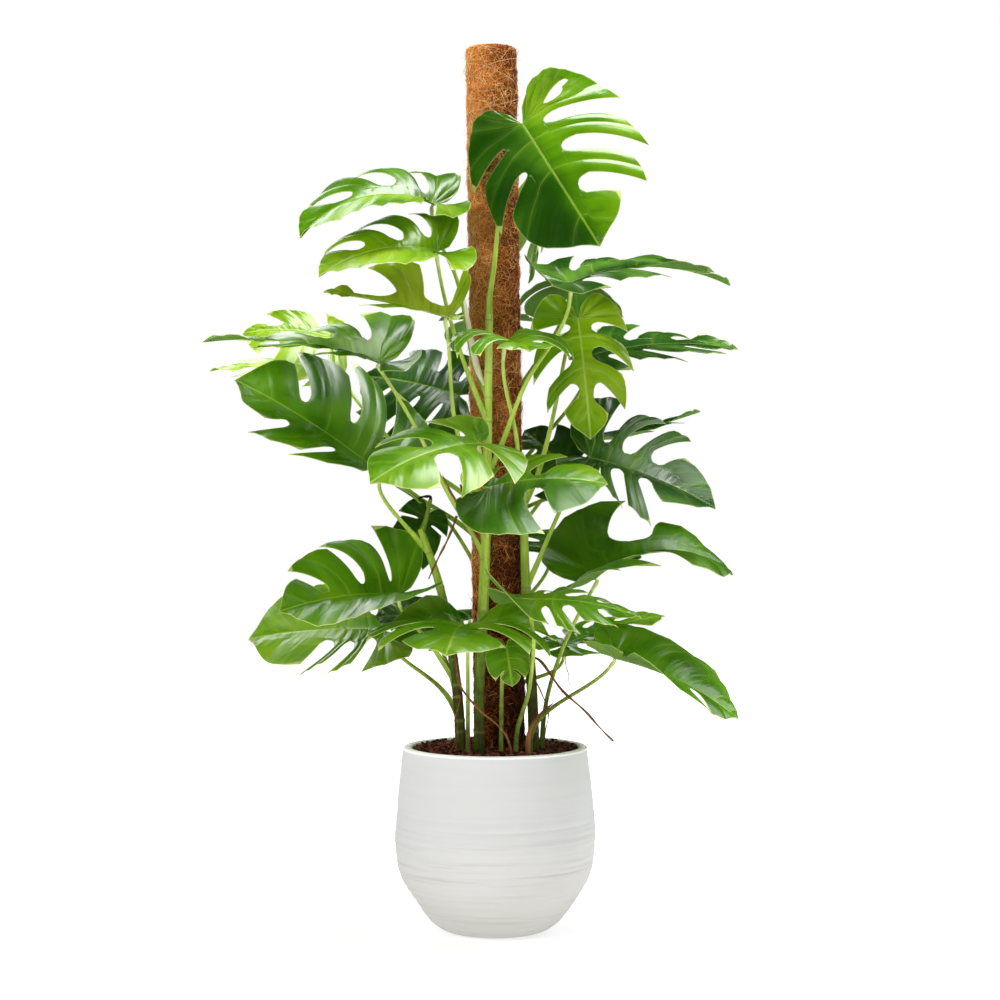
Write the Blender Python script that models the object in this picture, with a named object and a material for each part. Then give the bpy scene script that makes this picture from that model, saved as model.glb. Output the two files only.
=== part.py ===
"""A swiss cheese plant climbing a coir pole, standing in a round plaster pot.

Metres, +Z up. The origin is the centre of the pot's flat underside and the
plant's front looks along -Y. Every leaf is a closed sheet with its cut edge
and its holes, carried by a stalk that is fused to one of the stems or that
stands in the soil by itself.
"""

import math

import bpy
import numpy as np

# Pot
POT_WALL = 0.015
POT_FLOOR = 0.030
POT_SEGMENTS = 32
POT_RINGS = 11
POT_OUTSIDE = [(0.098, 0.0), (0.128, 0.040), (0.1617, 0.096), (0.1705, 0.150), (0.1665, 0.215),
               (0.157, 0.3035)]
SOIL_LEVEL = 0.302
SOIL_CROWN = 0.003
SOIL_EDGE_DROP = 0.002

# Coir pole, which leans a little to the left
POLE_FOOT = (0.008, 0.0, 0.300)
POLE_TOP = (-0.007, 0.0, 1.497)
POLE_RADIUS = 0.0450
POLE_LUMP = 0.0008
POLE_BURIED = 0.100
POLE_SIDES = 20
POLE_RINGS = 13
CORE_RADIUS = 0.0200
CORE_BURIED = 0.200
CORE_SHORT = 0.012

# Space left between two separate pieces, and how far a hole's cutter stands out of the soil
GAP = 0.0004
CUTTER_CLEAR = 0.030

# Leaf blade, in shares of the leaf's length, from the sinus round to the tip
BLADE_THICKNESS = 0.0010
HALF_OUTLINE = [(-0.10, 0.05), (-0.19, 0.17), (-0.21, 0.35), (-0.12, 0.51), (0.05, 0.62), (0.27, 0.67),
                (0.52, 0.63), (0.74, 0.49), (0.88, 0.27), (0.95, 0.09), (1.0, 0.0)]
FAN = 0.34
ROOT_POWER = 1.35
VEIN_BOW = 0.14
VEIN_BOW_AHEAD = 0.16
HEEL_SPAN = 0.25
DROOP_SPAN = 0.60
FOLD_AT_BASE = 1.1
FIRST_CUT = 0.42
WINDOW_PLACE = 0.24
WINDOW = (0.38, 0.86)
HOLE_END = 0.86
CUT_MOUTH = 0.16
OPEN_ROW = 0.08
SAG_START = 0.46
SAG_SPAN = 0.30
LOBE_TRIM = 0.18
LOBE_TRIM_POWER = 2.2
LOBE_HOOK = 0.05
LOBE_CELLS = 2

# Leaf stalks
STALK_SIDES = 6
STALK_STEPS = 6
STALK_FOOT = 0.0050
STALK_MIDDLE = 0.0036
STALK_TIP = 0.0028
STALK_POINT = 0.0010
POINT_LENGTH = 0.006
BEND_LENGTH = 0.013
HOLE_DEPTH = 0.060

# Stems, and how far a stalk goes on the stem's way before it turns off
STEM_SIDES = 8
STEM_RINGS = 14
STEM_FOOT = SOIL_LEVEL - HOLE_DEPTH
STALK_START = 0.030

# Aerial roots
ROOT_SIDES = 6
ROOT_RADIUS = 0.0016
ROOT_RINGS = 12

GREEN = (0.045, 0.120, 0.030)
YOUNG_GREEN = (0.130, 0.250, 0.035)


class Leaf:
    """One blade. base and tip are the two ends of its midrib, face is the way its upper side looks."""

    def __init__(self, name, base, tip, face, stem="", foot=0.4, spread=0.5, lean=0.33, via=(),
                 young=False, plain=False, back=1.0, back_twist=0,
                 width=1.0, halves=(1.0, 1.0), arch=35, fold=(8, 8), droop=(35, 35), heel=10, flat=0.9,
                 sweep=0.0, twist=0,
                 gaps=3, last=0.77, depth=(0.28, 0.28), gap_width=0.030, narrow=(1.0, 1.0), skip=(), holes=(),
                 pierced=(), sag=0.15, seed=0):
        self.name = name
        self.stem = stem
        self.foot = foot
        self.spread = spread
        self.lean = lean
        self.via = via
        self.back = back
        self.young = young
        self.plain = plain
        self.widths = (width * halves[0], width * halves[1])
        self.fold = np.radians(fold)
        self.droop = np.radians(droop)
        self.heel = math.radians(heel)
        self.arch = math.radians(arch)
        self.flat = flat
        self.sweep = sweep
        self.twist = math.radians(twist)
        self.back_twist = math.radians(back_twist)
        self.base = np.array(base, float)
        self.aim(np.array(tip, float), np.array(face, float))
        self.cut(gaps, last, depth, gap_width, narrow, skip, holes, pierced, sag, seed)

    def aim(self, tip, face):
        """Set the length and the three axes at the blade's base, so that the arched midrib ends at tip."""
        chord = tip - self.base
        reach = np.linalg.norm(chord)
        ahead = chord / reach
        up = face - face.dot(ahead) * ahead
        up /= np.linalg.norm(up)
        half = self.arch / 2
        self.length = reach * half / math.sin(half)
        self.forward = math.cos(half) * ahead + math.sin(half) * up
        self.normal = math.cos(half) * up - math.sin(half) * ahead
        self.across = np.cross(self.forward, self.normal)

    def cut(self, gaps, last, depth, gap_width, narrow, skip, holes, pierced, sag, seed):
        """Lay out the cuts between the lobes: inner end, outer end and width, for each side."""
        rng = np.random.default_rng(100 + seed)
        places = list(np.linspace(FIRST_CUT, last, gaps)) if gaps > 1 else [last]
        self.cuts = [[], []]
        for side in (0, 1):
            for number, place in enumerate(places):
                inner = depth[side] + 0.05 * rng.uniform(-1, 1)
                wide = gap_width * narrow[side] * rng.uniform(0.8, 1.2)
                drift = rng.uniform(-0.02, 0.02)
                outer = HOLE_END if (side, number) in holes else 2.0
                inner = 2.0 if (side, number) in skip else inner
                self.cuts[side].append((place, inner, outer, wide, drift))
            if pierced:
                inner, outer = WINDOW if side in pierced else (2.0, 2.0)
                self.cuts[side].insert(0, (WINDOW_PLACE, inner, outer, gap_width, 0.0))
        self.lobe_sag = rng.uniform(-1, 1, (2, len(self.cuts[0]) + 1)) * sag
        for side in (0, 1):
            for number, (_, inner, outer, _, _) in enumerate(self.cuts[side]):
                if inner > 1 or outer < 1:
                    self.lobe_sag[side][number + 1] = self.lobe_sag[side][number]

    def midrib(self, x):
        """Points, tangents and normals of the midrib at shares x of the length."""
        bend = np.where(x > 0, -self.arch, self.heel / HEEL_SPAN)
        bend = np.where(np.abs(bend) < 1e-6, 1e-6, bend)
        angle = (bend * x)[..., None]
        bend = bend[..., None]
        along = np.sin(angle) / bend
        rise = (1 - np.cos(angle)) / bend
        aside = (self.sweep * x * np.abs(x) / 2)[..., None]
        step = along * self.forward + rise * self.normal + aside * self.across
        tangent = np.cos(angle) * self.forward + np.sin(angle) * self.normal
        normal = np.cos(angle) * self.normal - np.sin(angle) * self.forward
        return self.base + self.length * step, tangent, normal

    def place(self, side, flat_points, r, sag):
        """Lift points of the flat half blade onto the folded, drooping and arched one."""
        x = np.where(flat_points[:, 0] < 0, self.back * flat_points[:, 0], flat_points[:, 0])
        y = flat_points[:, 1] * self.widths[side]
        point = self.midrib(x)[0]
        normal = self.midrib(np.maximum(x, 0))[2]
        tilt = self.fold[side] * np.clip(FOLD_AT_BASE - self.flat * np.maximum(x, 0), 0, FOLD_AT_BASE)
        bend = max(self.droop[side], 1e-4) / DROOP_SPAN
        out = (np.sin(tilt) - np.sin(tilt - bend * y)) / bend
        lift = (np.cos(tilt - bend * y) - np.cos(tilt)) / bend
        lift = lift - sag * np.clip(r - SAG_START, 0, 1) ** 2 * np.clip(y / SAG_SPAN, 0, 1)
        turn = np.where(x < 0, self.back_twist * x, self.twist * x)[:, None]
        aside = np.cos(turn) * self.across + np.sin(turn) * normal
        upward = np.cos(turn) * normal - np.sin(turn) * self.across
        sign = 1 if side == 0 else -1
        return point + self.length * (sign * out[:, None] * aside + lift[:, None] * upward)

    def rows(self):
        """Rows of the grid: one where every cut is still closed, the next where all of them are open."""
        inner = [cut[1] for side in self.cuts for cut in side if cut[1] < 1]
        closed = min(inner) - 0.01
        opened = max(inner) + OPEN_ROW
        has_hole = any(cut[2] < 1 for side in self.cuts for cut in side)
        middle = (HOLE_END + 0.04,) if has_hole else () if self.plain else ((opened + 1) / 2,)
        return (0.0, closed, opened) + middle + (1.0,)

    def patches(self, rows, cells):
        """Yield side, lobe number and a grid of points, rows by cells + 1, for each lobe."""
        rows = np.array(rows, float)
        for side in (0, 1):
            cuts = self.cuts[side]
            for lobe in range(len(cuts) + 1):
                low, low_open, high, high_open = 0 * rows, 0 * rows, 1 + 0 * rows, 0 * rows
                if lobe:
                    low, low_open = edge_of(cuts[lobe - 1], rows, 1)
                if lobe < len(cuts):
                    high, high_open = edge_of(cuts[lobe], rows, -1)
                grid = np.empty((len(rows), cells + 1, 3))
                for column, share in enumerate(np.linspace(0, 1, cells + 1)):
                    t = low + (high - low) * share
                    trim = 1 - LOBE_TRIM * low_open * (1 - share) ** LOBE_TRIM_POWER
                    trim = trim + LOBE_HOOK * high_open * share ** 4
                    flat_points = vein_point(t, rows * trim)
                    grid[:, column] = self.place(side, flat_points, rows, self.lobe_sag[side][lobe])
                yield side, lobe, grid


def edge_of(cut, rows, sign):
    """Edge of a cut at each row, in shares of the half outline, and whether the cut is open there."""
    place, inner, outer, wide, drift = cut
    half = gap_half_width(inner, outer, wide, rows)
    return place + drift * rows + sign * half, (half > 0).astype(float)


def gap_half_width(inner, outer, wide, r):
    """Half the width of a cut at shares r of the way from the midrib to the margin."""
    if inner >= 1:
        return 0 * r
    if outer > 1:
        mouth = np.clip((r - inner) / CUT_MOUTH, 0, 1)
        return wide * np.sqrt(mouth) * (1.25 - 0.25 * r)
    inside = np.clip((r - inner) / (outer - inner), 0, 1)
    return wide * np.sqrt(np.sin(np.pi * inside)) * ((r > inner) & (r < outer))


def through(points, t):
    """Smooth curve through points, read at shares t of its chord length."""
    p = np.asarray(points, float)
    t = np.atleast_1d(np.asarray(t, float))
    step = np.linalg.norm(np.diff(p, axis=0), axis=1)
    knots = np.concatenate([[0], np.cumsum(step)]) / step.sum()
    slope = np.gradient(p, knots, axis=0)
    i = np.clip(np.searchsorted(knots, t, side="right") - 1, 0, len(p) - 2)
    h = (knots[i + 1] - knots[i])[:, None]
    s = ((t - knots[i]) / h[:, 0])[:, None]
    return ((1 + 2 * s) * (1 - s) ** 2 * p[i] + s * (1 - s) ** 2 * h * slope[i]
            + s ** 2 * (3 - 2 * s) * p[i + 1] + s ** 2 * (s - 1) * h * slope[i + 1])


def vein_point(t, r):
    """Point of the flat half blade: t runs round the margin, r from the midrib out to it."""
    end = through(HALF_OUTLINE, t)
    root = np.clip((t - FAN) / (1 - FAN), 0, 1) ** ROOT_POWER
    start = np.stack([root, 0 * root], axis=1)
    reach = np.linalg.norm(end - start, axis=1)
    behind = VEIN_BOW * (FAN - t) / FAN
    ahead = -VEIN_BOW_AHEAD * np.clip((t - FAN) / 0.2, 0, 1)
    bow = np.where(t < FAN, behind, ahead) * reach
    middle = (start + end) / 2 + np.stack([bow, 0 * bow], axis=1)
    r = r[:, None]
    return (1 - r) ** 2 * start + 2 * r * (1 - r) * middle + r ** 2 * end


def unit(vector):
    return vector / np.linalg.norm(vector)


def material(name, color, roughness):
    made = bpy.data.materials.new(name)
    made.use_nodes = True
    shader = made.node_tree.nodes["Principled BSDF"]
    shader.inputs["Base Color"].default_value = (*color, 1.0)
    shader.inputs["Roughness"].default_value = roughness
    shader.inputs["Metallic"].default_value = 0.0
    return made


def add_object(name, points, faces, look=None):
    mesh = bpy.data.meshes.new(name)
    mesh.from_pydata([tuple(map(float, point)) for point in points], [], faces)
    mesh.shade_smooth()
    mesh.set_sharp_from_angle(angle=math.radians(40))
    made = bpy.data.objects.new(name, mesh)
    bpy.context.scene.collection.objects.link(made)
    if look is not None:
        mesh.materials.append(look)
    return made


def tube_mesh(points, radii, sides):
    """Closed tube along points. Its first ring starts at the side nearest to +X."""
    points = np.asarray(points, float)
    tangents = np.gradient(points, axis=0)
    rings = []
    side = np.array([1.0, 0.0, 0.0])
    for point, tangent, radius in zip(points, tangents, radii):
        tangent = unit(tangent)
        side = unit(side - side.dot(tangent) * tangent)
        other = np.cross(tangent, side)
        angles = [2 * math.pi * number / sides for number in range(sides)]
        rings += [point + radius * (math.cos(a) * side + math.sin(a) * other) for a in angles]
    faces = [tuple(reversed(range(sides)))]
    for ring in range(len(points) - 1):
        for number in range(sides):
            a = ring * sides + number
            b = ring * sides + (number + 1) % sides
            faces.append((a, b, b + sides, a + sides))
    top = (len(points) - 1) * sides
    faces.append(tuple(range(top, top + sides)))
    return rings, faces


def turned_mesh(profile, segments):
    """Solid of revolution. The profile starts and ends on the axis and runs bottom, outside, top."""
    points = [(0.0, 0.0, profile[0][1])]
    for radius, z in profile[1:-1]:
        for number in range(segments):
            angle = 2 * math.pi * number / segments
            points.append((radius * math.cos(angle), radius * math.sin(angle), z))
    points.append((0.0, 0.0, profile[-1][1]))
    faces = []
    rings = len(profile) - 2
    for number in range(segments):
        after = (number + 1) % segments
        faces.append((0, 1 + after, 1 + number))
        for ring in range(rings - 1):
            low = 1 + ring * segments
            high = low + segments
            faces.append((low + number, low + after, high + after, high + number))
        last = 1 + (rings - 1) * segments
        faces.append((last + number, last + after, len(points) - 1))
    return points, faces


def apply_boolean(target, others, operation):
    """Join or cut target with others, apply the result and remove the others."""
    group = bpy.data.collections.new("operands")
    bpy.context.scene.collection.children.link(group)
    for other in others:
        group.objects.link(other)
    modifier = target.modifiers.new("boolean", "BOOLEAN")
    modifier.operation = operation
    modifier.operand_type = "COLLECTION"
    modifier.collection = group
    modifier.solver = "EXACT"
    bpy.context.view_layer.update()
    result = bpy.data.meshes.new_from_object(target.evaluated_get(bpy.context.evaluated_depsgraph_get()))
    target.modifiers.clear()
    target.data = result
    for other in others:
        bpy.data.objects.remove(other)
    bpy.data.collections.remove(group)


def pot_outside(count):
    return [tuple(point) for point in through(POT_OUTSIDE, np.linspace(0, 1, count))]


def pot_inside():
    """Inner wall from the rim down to the floor, one wall's thickness inside the outer one."""
    wall = [(r - POT_WALL, z) for r, z in pot_outside(POT_RINGS) if z > POT_FLOOR + POT_WALL]
    first = wall[0][0]
    return list(reversed(wall)) + [(first - 0.6 * POT_WALL, POT_FLOOR + 0.3 * POT_WALL),
                                   (first - 1.3 * POT_WALL, POT_FLOOR)]


def add_pot():
    outside = pot_outside(POT_RINGS)
    rim_r, rim_z = outside[-1]
    half = POT_WALL / 2
    angles = np.radians([40, 90, 140])
    rim = [(rim_r - half + half * math.cos(a), rim_z + half * math.sin(a)) for a in angles]
    profile = [(0.0, 0.0)] + outside + rim + pot_inside() + [(0.0, POT_FLOOR)]
    add_object("pot", *turned_mesh(profile, POT_SEGMENTS), material("plaster", (0.80, 0.77, 0.72), 0.85))


def add_soil(cutters):
    """Soil that fills the pot, with a hole for everything that stands in it."""
    wall = [(r - GAP, z) for r, z in reversed(pot_inside()) if z < SOIL_LEVEL - 0.01]
    wall[0] = (wall[0][0], POT_FLOOR + GAP)
    top_r = pot_inside()[0][0] - 2 * GAP
    surface = [(top_r, SOIL_LEVEL - SOIL_EDGE_DROP), (top_r / 2, SOIL_LEVEL), (0.0, SOIL_LEVEL + SOIL_CROWN)]
    profile = [(0.0, POT_FLOOR + GAP)] + wall + surface
    brown = material("soil", (0.070, 0.042, 0.028), 0.95)
    soil = add_object("soil", *turned_mesh(profile, POT_SEGMENTS), brown)
    apply_boolean(soil, cutters, "DIFFERENCE")


def pole_point(z):
    """Point of the pole's axis at height z."""
    foot = np.array(POLE_FOOT)
    top = np.array(POLE_TOP)
    return foot + (top - foot) * (z - foot[2]) / (top[2] - foot[2])


def add_pole():
    """Coir sleeve on a wooden core. Returns what cuts their holes in the soil."""
    coir = material("coir", (0.30, 0.165, 0.075), 0.95)
    rng = np.random.default_rng(7)
    bore = CORE_RADIUS + GAP
    heights = np.linspace(POLE_FOOT[2] - POLE_BURIED, POLE_TOP[2], POLE_RINGS)
    radii = POLE_RADIUS + POLE_LUMP * rng.uniform(-1, 1, len(heights))
    radii[:2] = POLE_RADIUS
    sleeve = add_object("coir_pole", *tube_mesh([pole_point(z) for z in heights], radii, POLE_SIDES), coir)
    ends = [pole_point(heights[0] - 0.01), pole_point(heights[-1] + 0.01)]
    hole = add_object("bore", *tube_mesh(ends, [bore, bore], POLE_SIDES))
    apply_boolean(sleeve, [hole], "DIFFERENCE")
    core_ends = [pole_point(POLE_FOOT[2] - CORE_BURIED), pole_point(POLE_TOP[2] - CORE_SHORT)]
    wood = material("wood", (0.46, 0.33, 0.20), 0.7)
    add_object("pole_core", *tube_mesh(core_ends, [CORE_RADIUS] * 2, POLE_SIDES), wood)
    above = pole_point(POLE_FOOT[2] + CUTTER_CLEAR)
    below = pole_point(POLE_FOOT[2] - CORE_BURIED - GAP)
    return [hole_cutter(pole_point(heights[0] - GAP), above, POLE_RADIUS, POLE_SIDES),
            hole_cutter(below, pole_point(heights[0] + CUTTER_CLEAR), CORE_RADIUS, POLE_SIDES)]


def hole_cutter(bottom, top, radius, sides):
    return add_object("hole", *tube_mesh([bottom, top], [radius + 2 * GAP] * 2, sides))


def blade_sheet(leaf, rows, cells):
    """Points and faces of a blade's middle surface, with points that lie together welded."""
    points = []
    known = {}
    faces = []
    for side, _, grid in leaf.patches(rows, cells):
        numbers = np.empty(grid.shape[:2], int)
        for place in np.ndindex(*grid.shape[:2]):
            key = tuple(np.round(grid[place] / 2e-6).astype(int))
            if key not in known:
                known[key] = len(points)
                points.append(grid[place])
            numbers[place] = known[key]
        for row in range(grid.shape[0] - 1):
            for column in range(grid.shape[1] - 1):
                corners = [numbers[row, column], numbers[row, column + 1],
                           numbers[row + 1, column + 1], numbers[row + 1, column]]
                if side == 1:
                    corners.reverse()
                face = [int(n) for i, n in enumerate(corners) if n != corners[i - 1]]
                if len(set(face)) > 2:
                    faces.append(face)
    return np.array(points), faces


def triangles_of(faces):
    """Split every face from its first corner, so that both sides of a blade are split alike."""
    return [(face[0], face[i], face[i + 1]) for face in faces for i in range(1, len(face) - 1)]


def thicken(points, faces, thickness):
    """Closed body of even thickness round a sheet."""
    normals = np.zeros_like(points)
    for a, b, c in faces:
        turn = np.cross(points[b] - points[a], points[c] - points[a])
        for corner in (a, b, c):
            normals[corner] += turn
    normals /= np.linalg.norm(normals, axis=1)[:, None]
    count = len(points)
    body = np.concatenate([points + normals * thickness / 2, points - normals * thickness / 2])
    edges = {(face[i - 1], face[i]) for face in faces for i in range(3)}
    rim = [(b, a, a + count, b + count) for a, b in edges if (b, a) not in edges]
    rim_faces = [part for a, b, c, d in sorted(rim) for part in ((a, b, c), (a, c, d))]
    under = [(c + count, b + count, a + count) for a, b, c in faces]
    return body, list(faces) + under + rim_faces


def add_blade(leaf, looks):
    points, faces = blade_sheet(leaf, leaf.rows(), LOBE_CELLS)
    body, body_faces = thicken(points, triangles_of(faces), BLADE_THICKNESS)
    add_object(leaf.name, body, body_faces, looks[leaf.young])


def stem_point(path, height):
    """Point and direction of a stem at a height."""
    path = np.array(path, float)
    shares = np.linspace(0, 1, 200)
    curve = through(path, shares)
    near = int(np.argmin(np.abs(curve[:, 2] - height)))
    near = min(max(near, 1), len(curve) - 2)
    return curve[near], unit(curve[near + 1] - curve[near - 1])


def stalk_line(leaf, start, start_way):
    """Route of a stalk from its start to just under the blade's base, and its radii."""
    forward, normal = leaf.forward, leaf.normal
    hang = max(0.0, *(-1.1 * leaf.fold)) + abs(leaf.arch) / 4
    cap = leaf.base - normal * (BLADE_THICKNESS / 2 + GAP + STALK_POINT * math.tan(hang))
    below = cap - normal * POINT_LENGTH
    bend = below - unit(normal * (1 - leaf.lean) + forward * leaf.lean) * BEND_LENGTH
    via = [np.array(point, float) for point in leaf.via]
    stops = [start, start + start_way * STALK_START] + via + [bend, below, cap]
    body = through(stops[:-1], np.linspace(0, 1, STALK_STEPS + 2 * len(leaf.via) + 2))
    line = np.concatenate([body, [cap]])
    length = np.linspace(0, 1, len(body))
    radii = np.interp(length, [0, 0.4, 1], [STALK_FOOT, STALK_MIDDLE, STALK_TIP])
    return line, list(radii) + [STALK_POINT]


def add_stem(name, path, radii, leaves, look):
    """A stem with all its leaf stalks, as one body. Returns what cuts its hole in the soil."""
    shares = np.linspace(0, 1, STEM_RINGS)
    line = through(path, shares)
    thickness = np.interp(shares, np.linspace(0, 1, len(radii)), radii)
    line[:2, :2] = line[0, :2]
    stem = add_object(name, *tube_mesh(line, thickness, STEM_SIDES), look)
    stalks = []
    for leaf in leaves:
        foot, way = stem_point(path, leaf.foot)
        toward = leaf.base - foot
        toward[2] = 0
        start_way = unit(way + leaf.spread * unit(toward))
        stalks.append(add_object("stalk", *tube_mesh(*stalk_line(leaf, foot, start_way), STALK_SIDES)))
    if stalks:
        apply_boolean(stem, stalks, "UNION")
    foot = np.array(path[0])
    return hole_cutter(foot - (0, 0, GAP), foot + (0, 0, HOLE_DEPTH + CUTTER_CLEAR), radii[0], STEM_SIDES)


def add_low_stalk(leaf, foot, look):
    """A leaf stalk that comes straight out of the soil, with its hole cutter."""
    bottom = np.array([foot[0], foot[1], STEM_FOOT])
    straight = bottom + (0, 0, HOLE_DEPTH)
    line, radii = stalk_line(leaf, straight, np.array([0.0, 0.0, 1.0]))
    line = np.concatenate([[bottom], line])
    radii = [STALK_FOOT] + radii
    add_object("stalk_of_" + leaf.name, *tube_mesh(line, radii, STALK_SIDES), look)
    return hole_cutter(bottom - (0, 0, GAP), straight + (0, 0, CUTTER_CLEAR), STALK_FOOT, STALK_SIDES)


def add_root(name, look):
    """A thin root that leaves a stem and ends in the air or in the soil."""
    stem, height, way, points = ROOTS[name]
    path, radii = STEMS[stem]
    axis, _ = stem_point(path, height)
    way = unit(np.array(way))
    start = axis + way * (radii[1] + GAP)
    stops = [start, start + way * 5 * ROOT_RADIUS] + [np.array(point) for point in points]
    buried = points[-1][2] < SOIL_LEVEL
    line = through(stops[:-1], np.linspace(0, 1, ROOT_RINGS))
    line = np.concatenate([line, stops[-1:]])
    thickness = np.full(len(line), ROOT_RADIUS)
    if not buried:
        thickness[-1] = ROOT_RADIUS / 2
    add_object(name, *tube_mesh(line, thickness, ROOT_SIDES), look)
    if not buried:
        return []
    foot = np.array(points[-1])
    return [hole_cutter(foot - (0, 0, GAP), foot + (0, 0, HOLE_DEPTH), ROOT_RADIUS, ROOT_SIDES)]


STEMS = {
    "stem_front": ([(-0.026, -0.080, STEM_FOOT), (-0.026, -0.080, 0.302), (-0.027, -0.070, 0.40),
                    (-0.020, -0.060, 0.55), (-0.014, -0.057, 0.75), (-0.012, -0.057, 0.90),
                    (-0.010, -0.057, 1.04)],
                   (0.0090, 0.0090, 0.0080, 0.0060)),
    "stem_right": ([(0.065, -0.050, STEM_FOOT), (0.065, -0.050, 0.302), (0.063, -0.048, 0.38),
                    (0.056, -0.042, 0.50), (0.050, -0.038, 0.62), (0.048, -0.037, 0.74)],
                   (0.0095, 0.0090, 0.0080, 0.0060)),
    "stem_left": ([(-0.057, -0.060, STEM_FOOT), (-0.057, -0.060, 0.302), (-0.061, -0.058, 0.38),
                   (-0.070, -0.055, 0.46), (-0.092, -0.048, 0.58), (-0.125, -0.045, 0.68)],
                  (0.0090, 0.0085, 0.0075, 0.0055)),
    "stem_back": ([(0.010, 0.080, STEM_FOOT), (0.010, 0.080, 0.302), (0.008, 0.066, 0.45),
                   (0.003, 0.060, 0.75), (-0.001, 0.058, 1.00), (-0.002, 0.058, 1.18)],
                  (0.0095, 0.0090, 0.0080, 0.0060)),
}

# Aerial roots: the stem, the height and the way they leave it, and the points they pass
ROOTS = {
    "aerial_root_01": ("stem_right", 0.465, (0.6, -0.8, 0.0),
                       [(0.112, -0.085, 0.412), (0.156, -0.098, 0.372), (0.176, -0.102, 0.350),
                        (0.196, -0.104, 0.330)]),
    "aerial_root_02": ("stem_left", 0.470, (0.3, -1.0, 0.0),
                       [(-0.055, -0.112, 0.420), (-0.027, -0.126, 0.385), (0.020, -0.120, 0.338),
                        (0.028, -0.117, 0.312), (0.028, -0.117, 0.270)]),
}

# Where the stalks that come straight out of the soil stand
LOW_STALKS = {
    "leaf_right_06": (0.080, -0.015),
    "leaf_front_04": (0.035, -0.088),
    "leaf_front_05": (-0.045, -0.105),
    "leaf_right_08": (0.058, -0.095),
    "leaf_front_06": (0.010, -0.090),
}

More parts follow.
